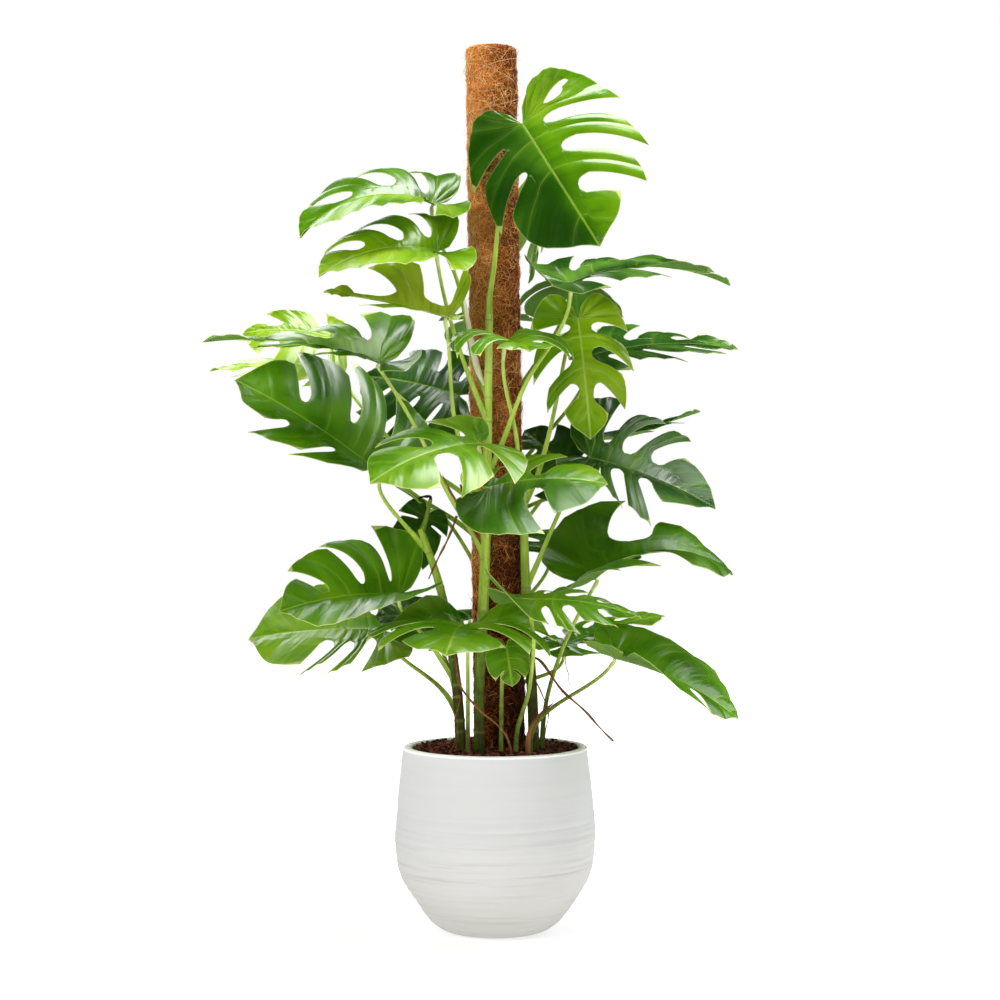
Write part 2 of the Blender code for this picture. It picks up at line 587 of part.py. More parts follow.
LEAVES = [
    Leaf("leaf_top", (0.045, -0.08, 1.355), (0.17, -0.17, 1.14), (-0.20, -0.9, 0.15), stem="stem_front",
         foot=1.03, spread=0.0, arch=25, fold=(0, 5), droop=(32, 40), heel=45, depth=(0.30, 0.22),
         gap_width=0.034, narrow=(0.6, 1.0), width=0.95, halves=(0.78, 1.0), pierced=(1,), skip=((0, 2),),
         seed=1,
         via=[(-0.002, -0.060, 1.12), (0.010, -0.062, 1.225)]),
    Leaf("leaf_top_back", (0.06, 0.16, 1.335), (0.06, 0.17, 1.115), (0.95, 0.3, 0.1), stem="stem_back",
         foot=1.17, plain=True, width=0.55, arch=25, gaps=2, seed=2),
    Leaf("leaf_back_01", (-0.015, 0.16, 1.05), (-0.02, 0.36, 0.99), (0, 0.3, 0.95), stem="stem_back",
         foot=0.92, plain=True, width=0.6, arch=40, gaps=2, seed=32),
    Leaf("leaf_left_01", (-0.105, -0.02, 1.23), (-0.325, -0.08, 1.165), (-0.1, -0.18, 0.96),
         stem="stem_front", foot=0.90, arch=75, fold=(45, 0), droop=(45, 15), heel=90, width=0.85,
         depth=(0.14, 0.28), gap_width=0.034, skip=((1, 1), (1, 2)), seed=3, via=[(-0.065, -0.06, 1.10)]),
    Leaf("leaf_left_02", (-0.095, -0.1, 1.14), (-0.285, -0.18, 1.09), (-0.1, -0.30, 0.94),
         stem="stem_front", foot=0.86, arch=50, fold=(55, 0), droop=(65, 15), heel=80, width=0.85,
         depth=(0.16, 0.28), gap_width=0.034, skip=((1, 1), (1, 2)), seed=4),
    Leaf("leaf_left_03", (-0.08, -0.12, 1.03), (-0.28, -0.14, 1.07), (0.1, -0.25, 0.95),
         stem="stem_front", foot=0.70, arch=10, fold=(60, 12), droop=(10, 10), heel=60, gaps=2,
         gap_width=0.09, depth=(0.15, 0.2), width=0.75, flat=1.0, back=0.55, seed=5,
         young=True, via=[(-0.065, -0.080, 0.85)]),
    Leaf("leaf_left_04", (-0.195, -0.05, 0.96), (-0.48, -0.12, 0.99), (0, -0.12, 1), stem="stem_front",
         foot=0.63, lean=0.6, arch=28, fold=(38, 5), droop=(20, 20), heel=95, flat=1.9, width=0.85,
         seed=6, via=[(-0.075, -0.090, 0.735), (-0.140, -0.065, 0.863)]),
    Leaf("leaf_left_05", (-0.295, 0.17, 1.02), (-0.45, 0.16, 1.025), (0, -0.7, 0.7), stem="stem_back",
         foot=0.66, plain=True, arch=40, fold=(10, 10), droop=(20, 20), width=0.9, halves=(0.5, 1.5), gaps=2,
         gap_width=0.05, young=True, seed=7, via=[(-0.18, 0.09, 0.83)]),
    Leaf("leaf_left_06", (-0.325, 0.26, 0.96), (-0.52, 0.25, 0.965), (0, -0.2, 1), stem="stem_back",
         foot=0.60, plain=True, arch=30, fold=(15, 0), width=0.7, gaps=2, seed=8,
         via=[(-0.17, 0.18, 0.76)]),
    Leaf("leaf_left_07", (-0.19, -0.02, 0.77), (-0.435, -0.06, 0.93), (0.42, -0.72, 0.55),
         stem="stem_left", foot=0.64, arch=20, fold=(5, 45), droop=(20, 0), gap_width=0.018,
         depth=(0.3, 0.4), width=1.15, halves=(0.9, 0.72), seed=9),
    Leaf("leaf_left_08", (-0.16, -0.06, 0.57), (-0.355, -0.12, 0.545), (0, -0.55, 0.85), stem="stem_left",
         foot=0.42, arch=30, fold=(38, 38), droop=(30, 10), heel=60, width=1.0,
         depth=(0.14, 0.28), gap_width=0.020, skip=((1, 0), (1, 1), (1, 2)), seed=20,
         via=[(-0.115, -0.085, 0.50)]),
    Leaf("leaf_left_09", (-0.19, 0.03, 0.505), (-0.425, 0.04, 0.49), (0, -0.5, 0.87), stem="stem_left",
         foot=0.36, arch=20, fold=(0, 12), last=0.64, holes=((0, 1), (0, 2)), flat=1.1, droop=(10, 0),
         width=1.05, seed=21),
    Leaf("leaf_left_10", (-0.095, 0.0, 0.52), (-0.205, -0.01, 0.53), (0, -0.6, 0.8), stem="stem_left",
         foot=0.40, plain=True, arch=35, width=0.9, gaps=2, gap_width=0.015, droop=(20, 50), seed=25),
    Leaf("leaf_right_01", (0.125, -0.03, 1.095), (0.4, 0.0, 1.095), (0, -0.15, 1), stem="stem_front",
         foot=0.77, arch=50, fold=(3, 14), droop=(5, 15), heel=100, seed=12, via=[(0.045, -0.095, 0.91)]),
    Leaf("leaf_back_02", (0.13, 0.05, 1.1), (0.15, 0.2, 1.05), (0.1, 0.2, 1), stem="stem_back", foot=0.85,
         plain=True, arch=40, droop=(60, 60), gaps=2, gap_width=0.02, seed=30),
    Leaf("leaf_right_02", (0.14, -0.02, 1.035), (0.16, -0.05, 0.83), (0.1, -1, 0.2), stem="stem_right",
         foot=0.72, arch=20, width=0.62, droop=(40, 40), gap_width=0.040, depth=(0.22, 0.22),
         young=True, seed=13),
    Leaf("leaf_right_03", (0.17, 0.13, 0.985), (0.435, 0.19, 1.0), (0, -0.28, 1), stem="stem_back",
         foot=0.72, arch=25, fold=(8, 8), droop=(10, 10), heel=40, width=0.8, seed=15),
    Leaf("leaf_right_04", (0.125, 0.18, 0.825), (0.37, 0.22, 0.89), (-0.3, -0.06, 1), stem="stem_back",
         foot=0.60, arch=-8, fold=(12, 5), droop=(10, 10), width=0.8, gaps=2, gap_width=0.05,
         seed=16),
    Leaf("leaf_right_05", (0.16, -0.03, 0.80), (0.37, -0.05, 0.715), (0.3, -0.30, 0.9), stem="stem_right",
         foot=0.58, arch=20, fold=(8, 40), droop=(30, 10), gap_width=0.030, depth=(0.2, 0.25), last=0.68,
         seed=17),
    Leaf("leaf_right_06", (0.170, 0.02, 0.595), (0.41, 0.05, 0.6), (0, -0.3, 0.95), lean=0.75, arch=85,
         fold=(32, 35), droop=(20, 20), heel=40, gaps=1, last=0.6, gap_width=0.07, width=0.88, seed=18),
    Leaf("leaf_right_07", (0.12, 0.16, 0.47), (0.305, 0.22, 0.52), (0, -0.15, 1), stem="stem_back",
         foot=0.36, plain=True, arch=20, fold=(10, 10), width=0.8, seed=24),
    Leaf("leaf_right_08", (0.2, -0.06, 0.465), (0.405, -0.08, 0.365), (0.1, -0.35, 1), arch=30,
         fold=(35, 12), droop=(10, 20), gaps=2, skip=((1, 0), (1, 1)), seed=23),
    Leaf("leaf_front_01", (0.015, -0.09, 0.985), (0.055, -0.25, 0.965), (0, 0.05, 1), stem="stem_right",
         foot=0.70, arch=20, fold=(45, 45), droop=(80, 80), heel=20, seed=14,
         via=[(0.037, -0.062, 0.82)]),
    Leaf("leaf_front_02", (-0.025, -0.20, 0.82), (-0.195, -0.30, 0.755), (-0.1, -0.5, 0.85),
         stem="stem_front", foot=0.67, arch=35, fold=(12, 8), gaps=2, depth=(0.15, 0.15), gap_width=0.045,
         last=0.66, width=0.9, seed=10, via=[(-0.054, -0.115, 0.765)]),
    Leaf("leaf_front_03", (-0.01, -0.19, 0.75), (0.18, -0.22, 0.755), (0.05, -0.5, 0.85),
         stem="stem_front", foot=0.54, arch=30, fold=(3, 5), droop=(15, 30), gaps=2, depth=(0.2, 0.15),
         gap_width=0.04, last=0.66, heel=40, skip=((0, 0),), width=0.9, halves=(1.3, 1.0), seed=11),
    Leaf("leaf_front_04", (0.065, -0.20, 0.57), (0.235, -0.20, 0.54), (0, -0.3, 0.95), young=True,
         arch=25, fold=(-5, 5), droop=(25, 40), heel=25, back=2.4, back_twist=-110, width=0.65, seed=19,
         via=[(0.056, -0.135, 0.42), (0.063, -0.166, 0.505)]),
    Leaf("leaf_front_05", (-0.045, -0.12, 0.52), (-0.075, -0.34, 0.49), (0, -0.2, 1), arch=40,
         fold=(15, 15), droop=(40, 40), heel=150, last=0.72, seed=22),
    Leaf("leaf_front_06", (0.018, -0.138, 0.49), (0.028, -0.155, 0.425), (0, -0.7, 0.7), plain=True,
         arch=30, gaps=1, gap_width=0.012, width=0.8, seed=31),
    Leaf("leaf_back_03", (-0.065, 0.15, 0.915), (-0.245, 0.26, 0.955), (0.1, -0.8, 0.6), stem="stem_back",
         foot=0.78, plain=True, arch=20, width=0.9, gap_width=0.018, seed=26),
    Leaf("leaf_back_04", (-0.12, 0.06, 0.70), (-0.17, 0.1, 0.60), (0.1, -0.9, 0.3), stem="stem_back",
         foot=0.54, plain=True, arch=20, width=0.6, gaps=2, gap_width=0.015, seed=27),
    Leaf("leaf_back_05", (0.130, 0.015, 0.77), (0.050, 0.060, 0.85), (-0.2, -0.8, 0.55), stem="stem_back",
         foot=0.66, plain=True, arch=30, width=0.85, gaps=2, gap_width=0.02, seed=33),
    Leaf("leaf_back_06", (0.1, 0.135, 0.64), (0.215, 0.31, 0.65), (0.2, -0.1, 1), stem="stem_back",
         foot=0.48, plain=True, arch=40, width=0.9, gaps=2, seed=34),
    Leaf("leaf_back_07", (-0.045, 0.14, 0.52), (-0.105, 0.36, 0.495), (0, 0.1, 1), stem="stem_back",
         foot=0.42, plain=True, arch=40, width=0.9, gaps=2, seed=35),
]


def build():
    for old in list(bpy.data.objects):
        bpy.data.objects.remove(old)
    add_pot()
    cutters = add_pole()
    stem_look = material("stem_green", (0.30, 0.40, 0.12), 0.5)
    for name, (path, radii) in STEMS.items():
        leaves = [leaf for leaf in LEAVES if leaf.stem == name]
        cutters.append(add_stem(name, path, radii, leaves, stem_look))
    for leaf in LEAVES:
        if leaf.name in LOW_STALKS:
            cutters.append(add_low_stalk(leaf, LOW_STALKS[leaf.name], stem_look))
    root_look = material("root", (0.23, 0.13, 0.07), 0.8)
    for name in ROOTS:
        cutters += add_root(name, root_look)
    add_soil(cutters)
    looks = {False: material("leaf_green", GREEN, 0.35), True: material("leaf_young", YOUNG_GREEN, 0.4)}
    for leaf in LEAVES:
        add_blade(leaf, looks)


build()
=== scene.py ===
"""Looks for a potted swiss cheese plant on a coir pole.

Metres, +Z up, the plant's front along -Y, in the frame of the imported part.
Every blade, stem, stalk and root, the pole's sleeve, the soil and the pot are
built again here, finer, on the same curves as the part's solids. The pole's
wooden core keeps its solid and gets a material.
"""

import math

import bpy
import numpy as np
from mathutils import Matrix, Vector


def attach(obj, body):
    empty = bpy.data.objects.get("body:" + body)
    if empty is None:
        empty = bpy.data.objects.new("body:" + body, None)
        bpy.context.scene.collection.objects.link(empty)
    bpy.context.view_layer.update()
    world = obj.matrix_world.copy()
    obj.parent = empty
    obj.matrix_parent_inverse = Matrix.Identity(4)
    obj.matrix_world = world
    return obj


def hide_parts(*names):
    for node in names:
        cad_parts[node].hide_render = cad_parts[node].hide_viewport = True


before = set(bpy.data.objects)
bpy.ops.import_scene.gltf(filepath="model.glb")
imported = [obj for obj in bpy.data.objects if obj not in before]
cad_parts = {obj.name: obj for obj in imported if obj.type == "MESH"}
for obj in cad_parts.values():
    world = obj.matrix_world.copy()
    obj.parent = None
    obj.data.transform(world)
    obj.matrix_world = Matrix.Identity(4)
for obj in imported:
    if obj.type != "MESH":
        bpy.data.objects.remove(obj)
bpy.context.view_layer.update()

# Camera, level and straight in front
CAMERA_PLACE = (0.008, -3.544, 0.729)
CAMERA_LENS = 75.0

# Pot
POT_WALL = 0.015
POT_FLOOR = 0.030
POT_RINGS = 11
# The wall's foot inside: how far in and how high each point lies, in wall thicknesses
POT_CORNER = [(0.6, 0.3), (1.3, 0.0)]
POT_OUTSIDE = [(0.098, 0.0), (0.128, 0.040), (0.1617, 0.096), (0.1705, 0.150), (0.1665, 0.215),
               (0.157, 0.3035)]
SOIL_LEVEL = 0.302
SOIL_CROWN = 0.003
SOIL_EDGE_DROP = 0.002

# Coir pole, which leans a little to the left
POLE_FOOT = (0.008, 0.0, 0.300)
POLE_TOP = (-0.007, 0.0, 1.497)
POLE_BURIED = 0.100
CORE_RADIUS = 0.0200

# Space left between two separate pieces
GAP = 0.0004

# Leaf blade, in shares of the leaf's length, from the sinus round to the tip
BLADE_THICKNESS = 0.0010
HALF_OUTLINE = [(-0.10, 0.05), (-0.19, 0.17), (-0.21, 0.35), (-0.12, 0.51), (0.05, 0.62), (0.27, 0.67),
                (0.52, 0.63), (0.74, 0.49), (0.88, 0.27), (0.95, 0.09), (1.0, 0.0)]
FAN = 0.34
ROOT_POWER = 1.35
VEIN_BOW = 0.14
VEIN_BOW_AHEAD = 0.16
BOW_AHEAD_SPAN = 0.2
HEEL_SPAN = 0.25
DROOP_SPAN = 0.60
FOLD_AT_BASE = 1.1
FIRST_CUT = 0.42
WINDOW_PLACE = 0.24
WINDOW = (0.38, 0.86)
HOLE_END = 0.86
CUT_MOUTH = 0.16
# Where a cut that isn't there begins, and one that is open at the margin ends
PAST_MARGIN = 2.0
# How far cuts differ at random, in depth, width and direction
DEPTH_SPREAD = 0.05
WIDTH_SPREAD = (0.8, 1.2)
DRIFT_SPREAD = (-0.02, 0.02)
SAG_START = 0.46
SAG_SPAN = 0.30
LOBE_SAG = 0.15
LOBE_TRIM = 0.18
LOBE_TRIM_POWER = 2.2
LOBE_HOOK = 0.05
LEAST_BEND = 1e-6
LEAST_DROOP = 1e-4

# How light and yellow a leaf is where it doesn't say: 0 is dark, 1 is pale. A tone is partly the leaf's own
# colour, paler and yellower when young, and partly painted light and shade: halves and leaves turned from the
# light get darker tones
PLAIN_TONE = 0.30

# Leaf stalks
STALK_FOOT = 0.0050
STALK_MIDDLE = 0.0036
STALK_TIP = 0.0028
STALK_POINT = 0.0010
FINE_STALK_RINGS = 60
POINT_LENGTH = 0.006
BEND_LENGTH = 0.013
HOLE_DEPTH = 0.060

# Stems, the points that a stem's path is read at, and how far a stalk goes the stem's way before it turns off
STEM_FOOT = SOIL_LEVEL - HOLE_DEPTH
PATH_STEPS = 200
STALK_START = 0.030

# Aerial roots
ROOT_RADIUS = 0.0016


class Leaf:
    """One blade and where its stalk comes from.

    base and tip are the two ends of its midrib, face is the way its upper side looks. Pairs are for its two
    halves, tone too.
    """

    def __init__(self, name, base, tip, face, stem="", foot=0.4, spread=0.5, lean=0.33, via=(),
                 young=False, tone=PLAIN_TONE, back=1.0, back_twist=0, width=1.0, halves=(1.0, 1.0),
                 arch=35, fold=(8, 8), droop=(35, 35), heel=10, flat=0.9, gaps=3, last=0.77,
                 depth=(0.28, 0.28), gap_width=0.030, narrow=(1.0, 1.0), skip=(), holes=(), pierced=(),
                 seed=0):
        self.name = name
        self.stem = stem
        self.foot = foot
        self.spread = spread
        self.lean = lean
        self.via = via
        self.back = back
        self.young = young
        self.tones = tone if isinstance(tone, tuple) else (tone, tone)
        self.widths = (width * halves[0], width * halves[1])
        self.fold = np.radians(fold)
        self.droop = np.radians(droop)
        self.heel = math.radians(heel)
        self.arch = math.radians(arch)
        self.flat = flat
        self.back_twist = math.radians(back_twist)
        self.base = np.array(base, float)
        self.aim(np.array(tip, float), np.array(face, float))
        self.cut(gaps, last, depth, gap_width, narrow, skip, holes, pierced, seed)

    def aim(self, tip, face):
        """Set the length and the three axes at the blade's base, so that the arched midrib ends at tip."""
        chord = tip - self.base
        reach = np.linalg.norm(chord)
        ahead = chord / reach
        up = face - face.dot(ahead) * ahead
        up /= np.linalg.norm(up)
        half = self.arch / 2
        self.length = reach * half / math.sin(half)
        self.forward = math.cos(half) * ahead + math.sin(half) * up
        self.normal = math.cos(half) * up - math.sin(half) * ahead
        self.across = np.cross(self.forward, self.normal)

    def cut(self, gaps, last, depth, gap_width, narrow, skip, holes, pierced, seed):
        """Lay out the cuts between the lobes: inner end, outer end and width, for each side."""
        rng = np.random.default_rng(100 + seed)
        places = list(np.linspace(FIRST_CUT, last, gaps)) if gaps > 1 else [last]
        self.cuts = [[], []]
        for side in (0, 1):
            for number, place in enumerate(places):
                inner = depth[side] + DEPTH_SPREAD * rng.uniform(-1, 1)
                wide = gap_width * narrow[side] * rng.uniform(*WIDTH_SPREAD)
                drift = rng.uniform(*DRIFT_SPREAD)
                outer = HOLE_END if (side, number) in holes else PAST_MARGIN
                inner = PAST_MARGIN if (side, number) in skip else inner
                self.cuts[side].append((place, inner, outer, wide, drift))
            if pierced:
                inner, outer = WINDOW if side in pierced else (PAST_MARGIN, PAST_MARGIN)
                self.cuts[side].insert(0, (WINDOW_PLACE, inner, outer, gap_width, 0.0))
        self.phase = np.random.default_rng(500 + seed).uniform(0, 1, 2)
        self.lobe_sag = rng.uniform(-1, 1, (2, len(self.cuts[0]) + 1)) * LOBE_SAG
        for side in (0, 1):
            for number, (_, inner, outer, _, _) in enumerate(self.cuts[side]):
                if inner > 1 or outer < 1:
                    self.lobe_sag[side][number + 1] = self.lobe_sag[side][number]

    def midrib(self, x):
        """Points and normals of the midrib at shares x of the length."""
        bend = np.where(x > 0, -self.arch, self.heel / HEEL_SPAN)
        bend = np.where(np.abs(bend) < LEAST_BEND, LEAST_BEND, bend)
        angle = (bend * x)[..., None]
        bend = bend[..., None]
        along = np.sin(angle) / bend
        rise = (1 - np.cos(angle)) / bend
        normal = np.cos(angle) * self.normal - np.sin(angle) * self.forward
        return self.base + self.length * (along * self.forward + rise * self.normal), normal

    def place(self, side, flat_points, r, sag, relief):
        """Lift points of the flat half blade onto the folded, drooping and arched one."""
        x = np.where(flat_points[:, 0] < 0, self.back * flat_points[:, 0], flat_points[:, 0])
        y = flat_points[:, 1] * self.widths[side]
        point = self.midrib(x)[0]
        normal = self.midrib(np.maximum(x, 0))[1]
        tilt = self.fold[side] * np.clip(FOLD_AT_BASE - self.flat * np.maximum(x, 0), 0, FOLD_AT_BASE)
        bend = max(self.droop[side], LEAST_DROOP) / DROOP_SPAN
        out = (np.sin(tilt) - np.sin(tilt - bend * y)) / bend
        lift = (np.cos(tilt - bend * y) - np.cos(tilt)) / bend
        lift = lift - sag * np.clip(r - SAG_START, 0, 1) ** 2 * np.clip(y / SAG_SPAN, 0, 1) + relief
        turn = (self.back_twist * np.minimum(x, 0))[:, None]
        aside = np.cos(turn) * self.across + np.sin(turn) * normal
        upward = np.cos(turn) * normal - np.sin(turn) * self.across
        sign = 1 if side == 0 else -1
        return point + self.length * (sign * out[:, None] * aside + lift[:, None] * upward)


def edge_of(cut, rows, sign):
    """Edge of a cut at each row, in shares of the half outline, and whether the cut is open there."""
    place, inner, outer, wide, drift = cut
    half = gap_half_width(inner, outer, wide, rows)
    return place + drift * rows + sign * half, (half > 0).astype(float)


def gap_half_width(inner, outer, wide, r):
    """Half the width of a cut at shares r of the way from the midrib to the margin."""
    if inner >= 1:
        return 0 * r
    if outer > 1:
        mouth = np.clip((r - inner) / CUT_MOUTH, 0, 1)
        return wide * np.sqrt(mouth) * (1.25 - 0.25 * r)
    inside = np.clip((r - inner) / (outer - inner), 0, 1)
    return wide * np.sqrt(np.sin(np.pi * inside)) * ((r > inner) & (r < outer))


def through(points, t):
    """Smooth curve through points, read at shares t of its chord length."""
    p = np.asarray(points, float)
    t = np.atleast_1d(np.asarray(t, float))
    step = np.linalg.norm(np.diff(p, axis=0), axis=1)
    knots = np.concatenate([[0], np.cumsum(step)]) / step.sum()
    slope = np.gradient(p, knots, axis=0)
    i = np.clip(np.searchsorted(knots, t, side="right") - 1, 0, len(p) - 2)
    h = (knots[i + 1] - knots[i])[:, None]
    s = ((t - knots[i]) / h[:, 0])[:, None]
    return ((1 + 2 * s) * (1 - s) ** 2 * p[i] + s * (1 - s) ** 2 * h * slope[i]
            + s ** 2 * (3 - 2 * s) * p[i + 1] + s ** 2 * (s - 1) * h * slope[i + 1])


def vein_point(t, r):
    """Point of the flat half blade: t runs round the margin, r from the midrib out to it."""
    end = through(HALF_OUTLINE, t)
    root = np.clip((t - FAN) / (1 - FAN), 0, 1) ** ROOT_POWER
    start = np.stack([root, 0 * root], axis=1)
    reach = np.linalg.norm(end - start, axis=1)
    behind = VEIN_BOW * (FAN - t) / FAN
    ahead = -VEIN_BOW_AHEAD * np.clip((t - FAN) / BOW_AHEAD_SPAN, 0, 1)
    bow = np.where(t < FAN, behind, ahead) * reach
    middle = (start + end) / 2 + np.stack([bow, 0 * bow], axis=1)
    r = r[:, None]
    return (1 - r) ** 2 * start + 2 * r * (1 - r) * middle + r ** 2 * end


def unit(vector):
    return vector / np.linalg.norm(vector)


def units(rows):
    return rows / np.linalg.norm(rows, axis=1)[:, None]


def tangents_of(line):
    return units(np.gradient(line, axis=0))


def turns(count):
    """Angles of equal steps round a circle."""
    return 2 * math.pi * np.arange(count) / count


def circle(angle):
    """Points of the flat unit circle."""
    return np.stack([np.cos(angle), np.sin(angle), 0 * angle], axis=1)


def ring_faces(rings, sides, first=0, closed=False):
    """Faces between rings of points, where closed joins the last ring to the first."""
    faces = []
    for ring in range(rings if closed else rings - 1):
        low = first + ring * sides
        high = first + (ring + 1) % rings * sides
        for number in range(sides):
            after = (number + 1) % sides
            faces.append((low + number, low + after, high + after, high + number))
    return faces


def pot_inside():
    """Inner wall from the rim down to the floor, one wall's thickness inside the outer one."""
    outside = through(POT_OUTSIDE, np.linspace(0, 1, POT_RINGS))
    wall = [(r - POT_WALL, z) for r, z in outside if z > POT_FLOOR + POT_WALL]
    foot = wall[0][0]
    return wall[::-1] + [(foot - inward * POT_WALL, POT_FLOOR + up * POT_WALL) for inward, up in POT_CORNER]


def pole_point(z):
    """Point of the pole's axis at height z."""
    foot = np.array(POLE_FOOT)
    top = np.array(POLE_TOP)
    return foot + (top - foot) * (z - foot[2]) / (top[2] - foot[2])


def stem_point(path, height):
    """Point and direction of a stem at a height."""
    curve = through(path, np.linspace(0, 1, PATH_STEPS))
    near = int(np.argmin(np.abs(curve[:, 2] - height)))
    near = min(max(near, 1), len(curve) - 2)
    return curve[near], unit(curve[near + 1] - curve[near - 1])


def stalk_line(leaf, start, start_way):
    """Route of a stalk from its start to just under the blade's base."""
    forward, normal = leaf.forward, leaf.normal
    hang = max(0.0, *(-FOLD_AT_BASE * leaf.fold)) + abs(leaf.arch) / 4
    cap = leaf.base - normal * (BLADE_THICKNESS / 2 + GAP + STALK_POINT * math.tan(hang))
    below = cap - normal * POINT_LENGTH
    bend = below - unit(normal * (1 - leaf.lean) + forward * leaf.lean) * BEND_LENGTH
    via = [np.array(point, float) for point in leaf.via]
    stops = [start, start + start_way * STALK_START] + via + [bend, below, cap]
    body = through(stops[:-1], np.linspace(0, 1, FINE_STALK_RINGS))
    return np.concatenate([body, [cap]])


STEMS = {
    "front": ([(-0.026, -0.080, STEM_FOOT), (-0.026, -0.080, 0.302), (-0.027, -0.070, 0.40),
               (-0.020, -0.060, 0.55), (-0.014, -0.057, 0.75), (-0.012, -0.057, 0.90),
               (-0.010, -0.057, 1.04)],
              (0.0090, 0.0090, 0.0080, 0.0060)),
    "right": ([(0.065, -0.050, STEM_FOOT), (0.065, -0.050, 0.302), (0.063, -0.048, 0.38),
               (0.056, -0.042, 0.50), (0.050, -0.038, 0.62), (0.048, -0.037, 0.74)],
              (0.0095, 0.0090, 0.0080, 0.0060)),
    "left": ([(-0.057, -0.060, STEM_FOOT), (-0.057, -0.060, 0.302), (-0.061, -0.058, 0.38),
              (-0.070, -0.055, 0.46), (-0.092, -0.048, 0.58), (-0.125, -0.045, 0.68)],
             (0.0090, 0.0085, 0.0075, 0.0055)),
    "back": ([(0.010, 0.080, STEM_FOOT), (0.010, 0.080, 0.302), (0.008, 0.066, 0.45),
              (0.003, 0.060, 0.75), (-0.001, 0.058, 1.00), (-0.002, 0.058, 1.18)],
             (0.0095, 0.0090, 0.0080, 0.0060)),
}

# Aerial roots: the stem, the height and the way they leave it, and the points they pass
ROOTS = {
    "aerial_root_01": ("right", 0.465, (0.6, -0.8, 0.0),
                       [(0.112, -0.085, 0.412), (0.156, -0.098, 0.372), (0.176, -0.102, 0.350),
                        (0.196, -0.104, 0.330)]),
    "aerial_root_02": ("left", 0.470, (0.3, -1.0, 0.0),
                       [(-0.055, -0.112, 0.420), (-0.027, -0.126, 0.385), (0.020, -0.120, 0.338),
                        (0.028, -0.117, 0.312), (0.028, -0.117, 0.270)]),
}

# Where the stalks that come straight out of the soil stand
LOW_STALKS = {
    "right_06": (0.080, -0.015),
    "front_04": (0.035, -0.088),
    "front_05": (-0.045, -0.105),
    "right_08": (0.058, -0.095),
    "front_06": (0.010, -0.090),
}

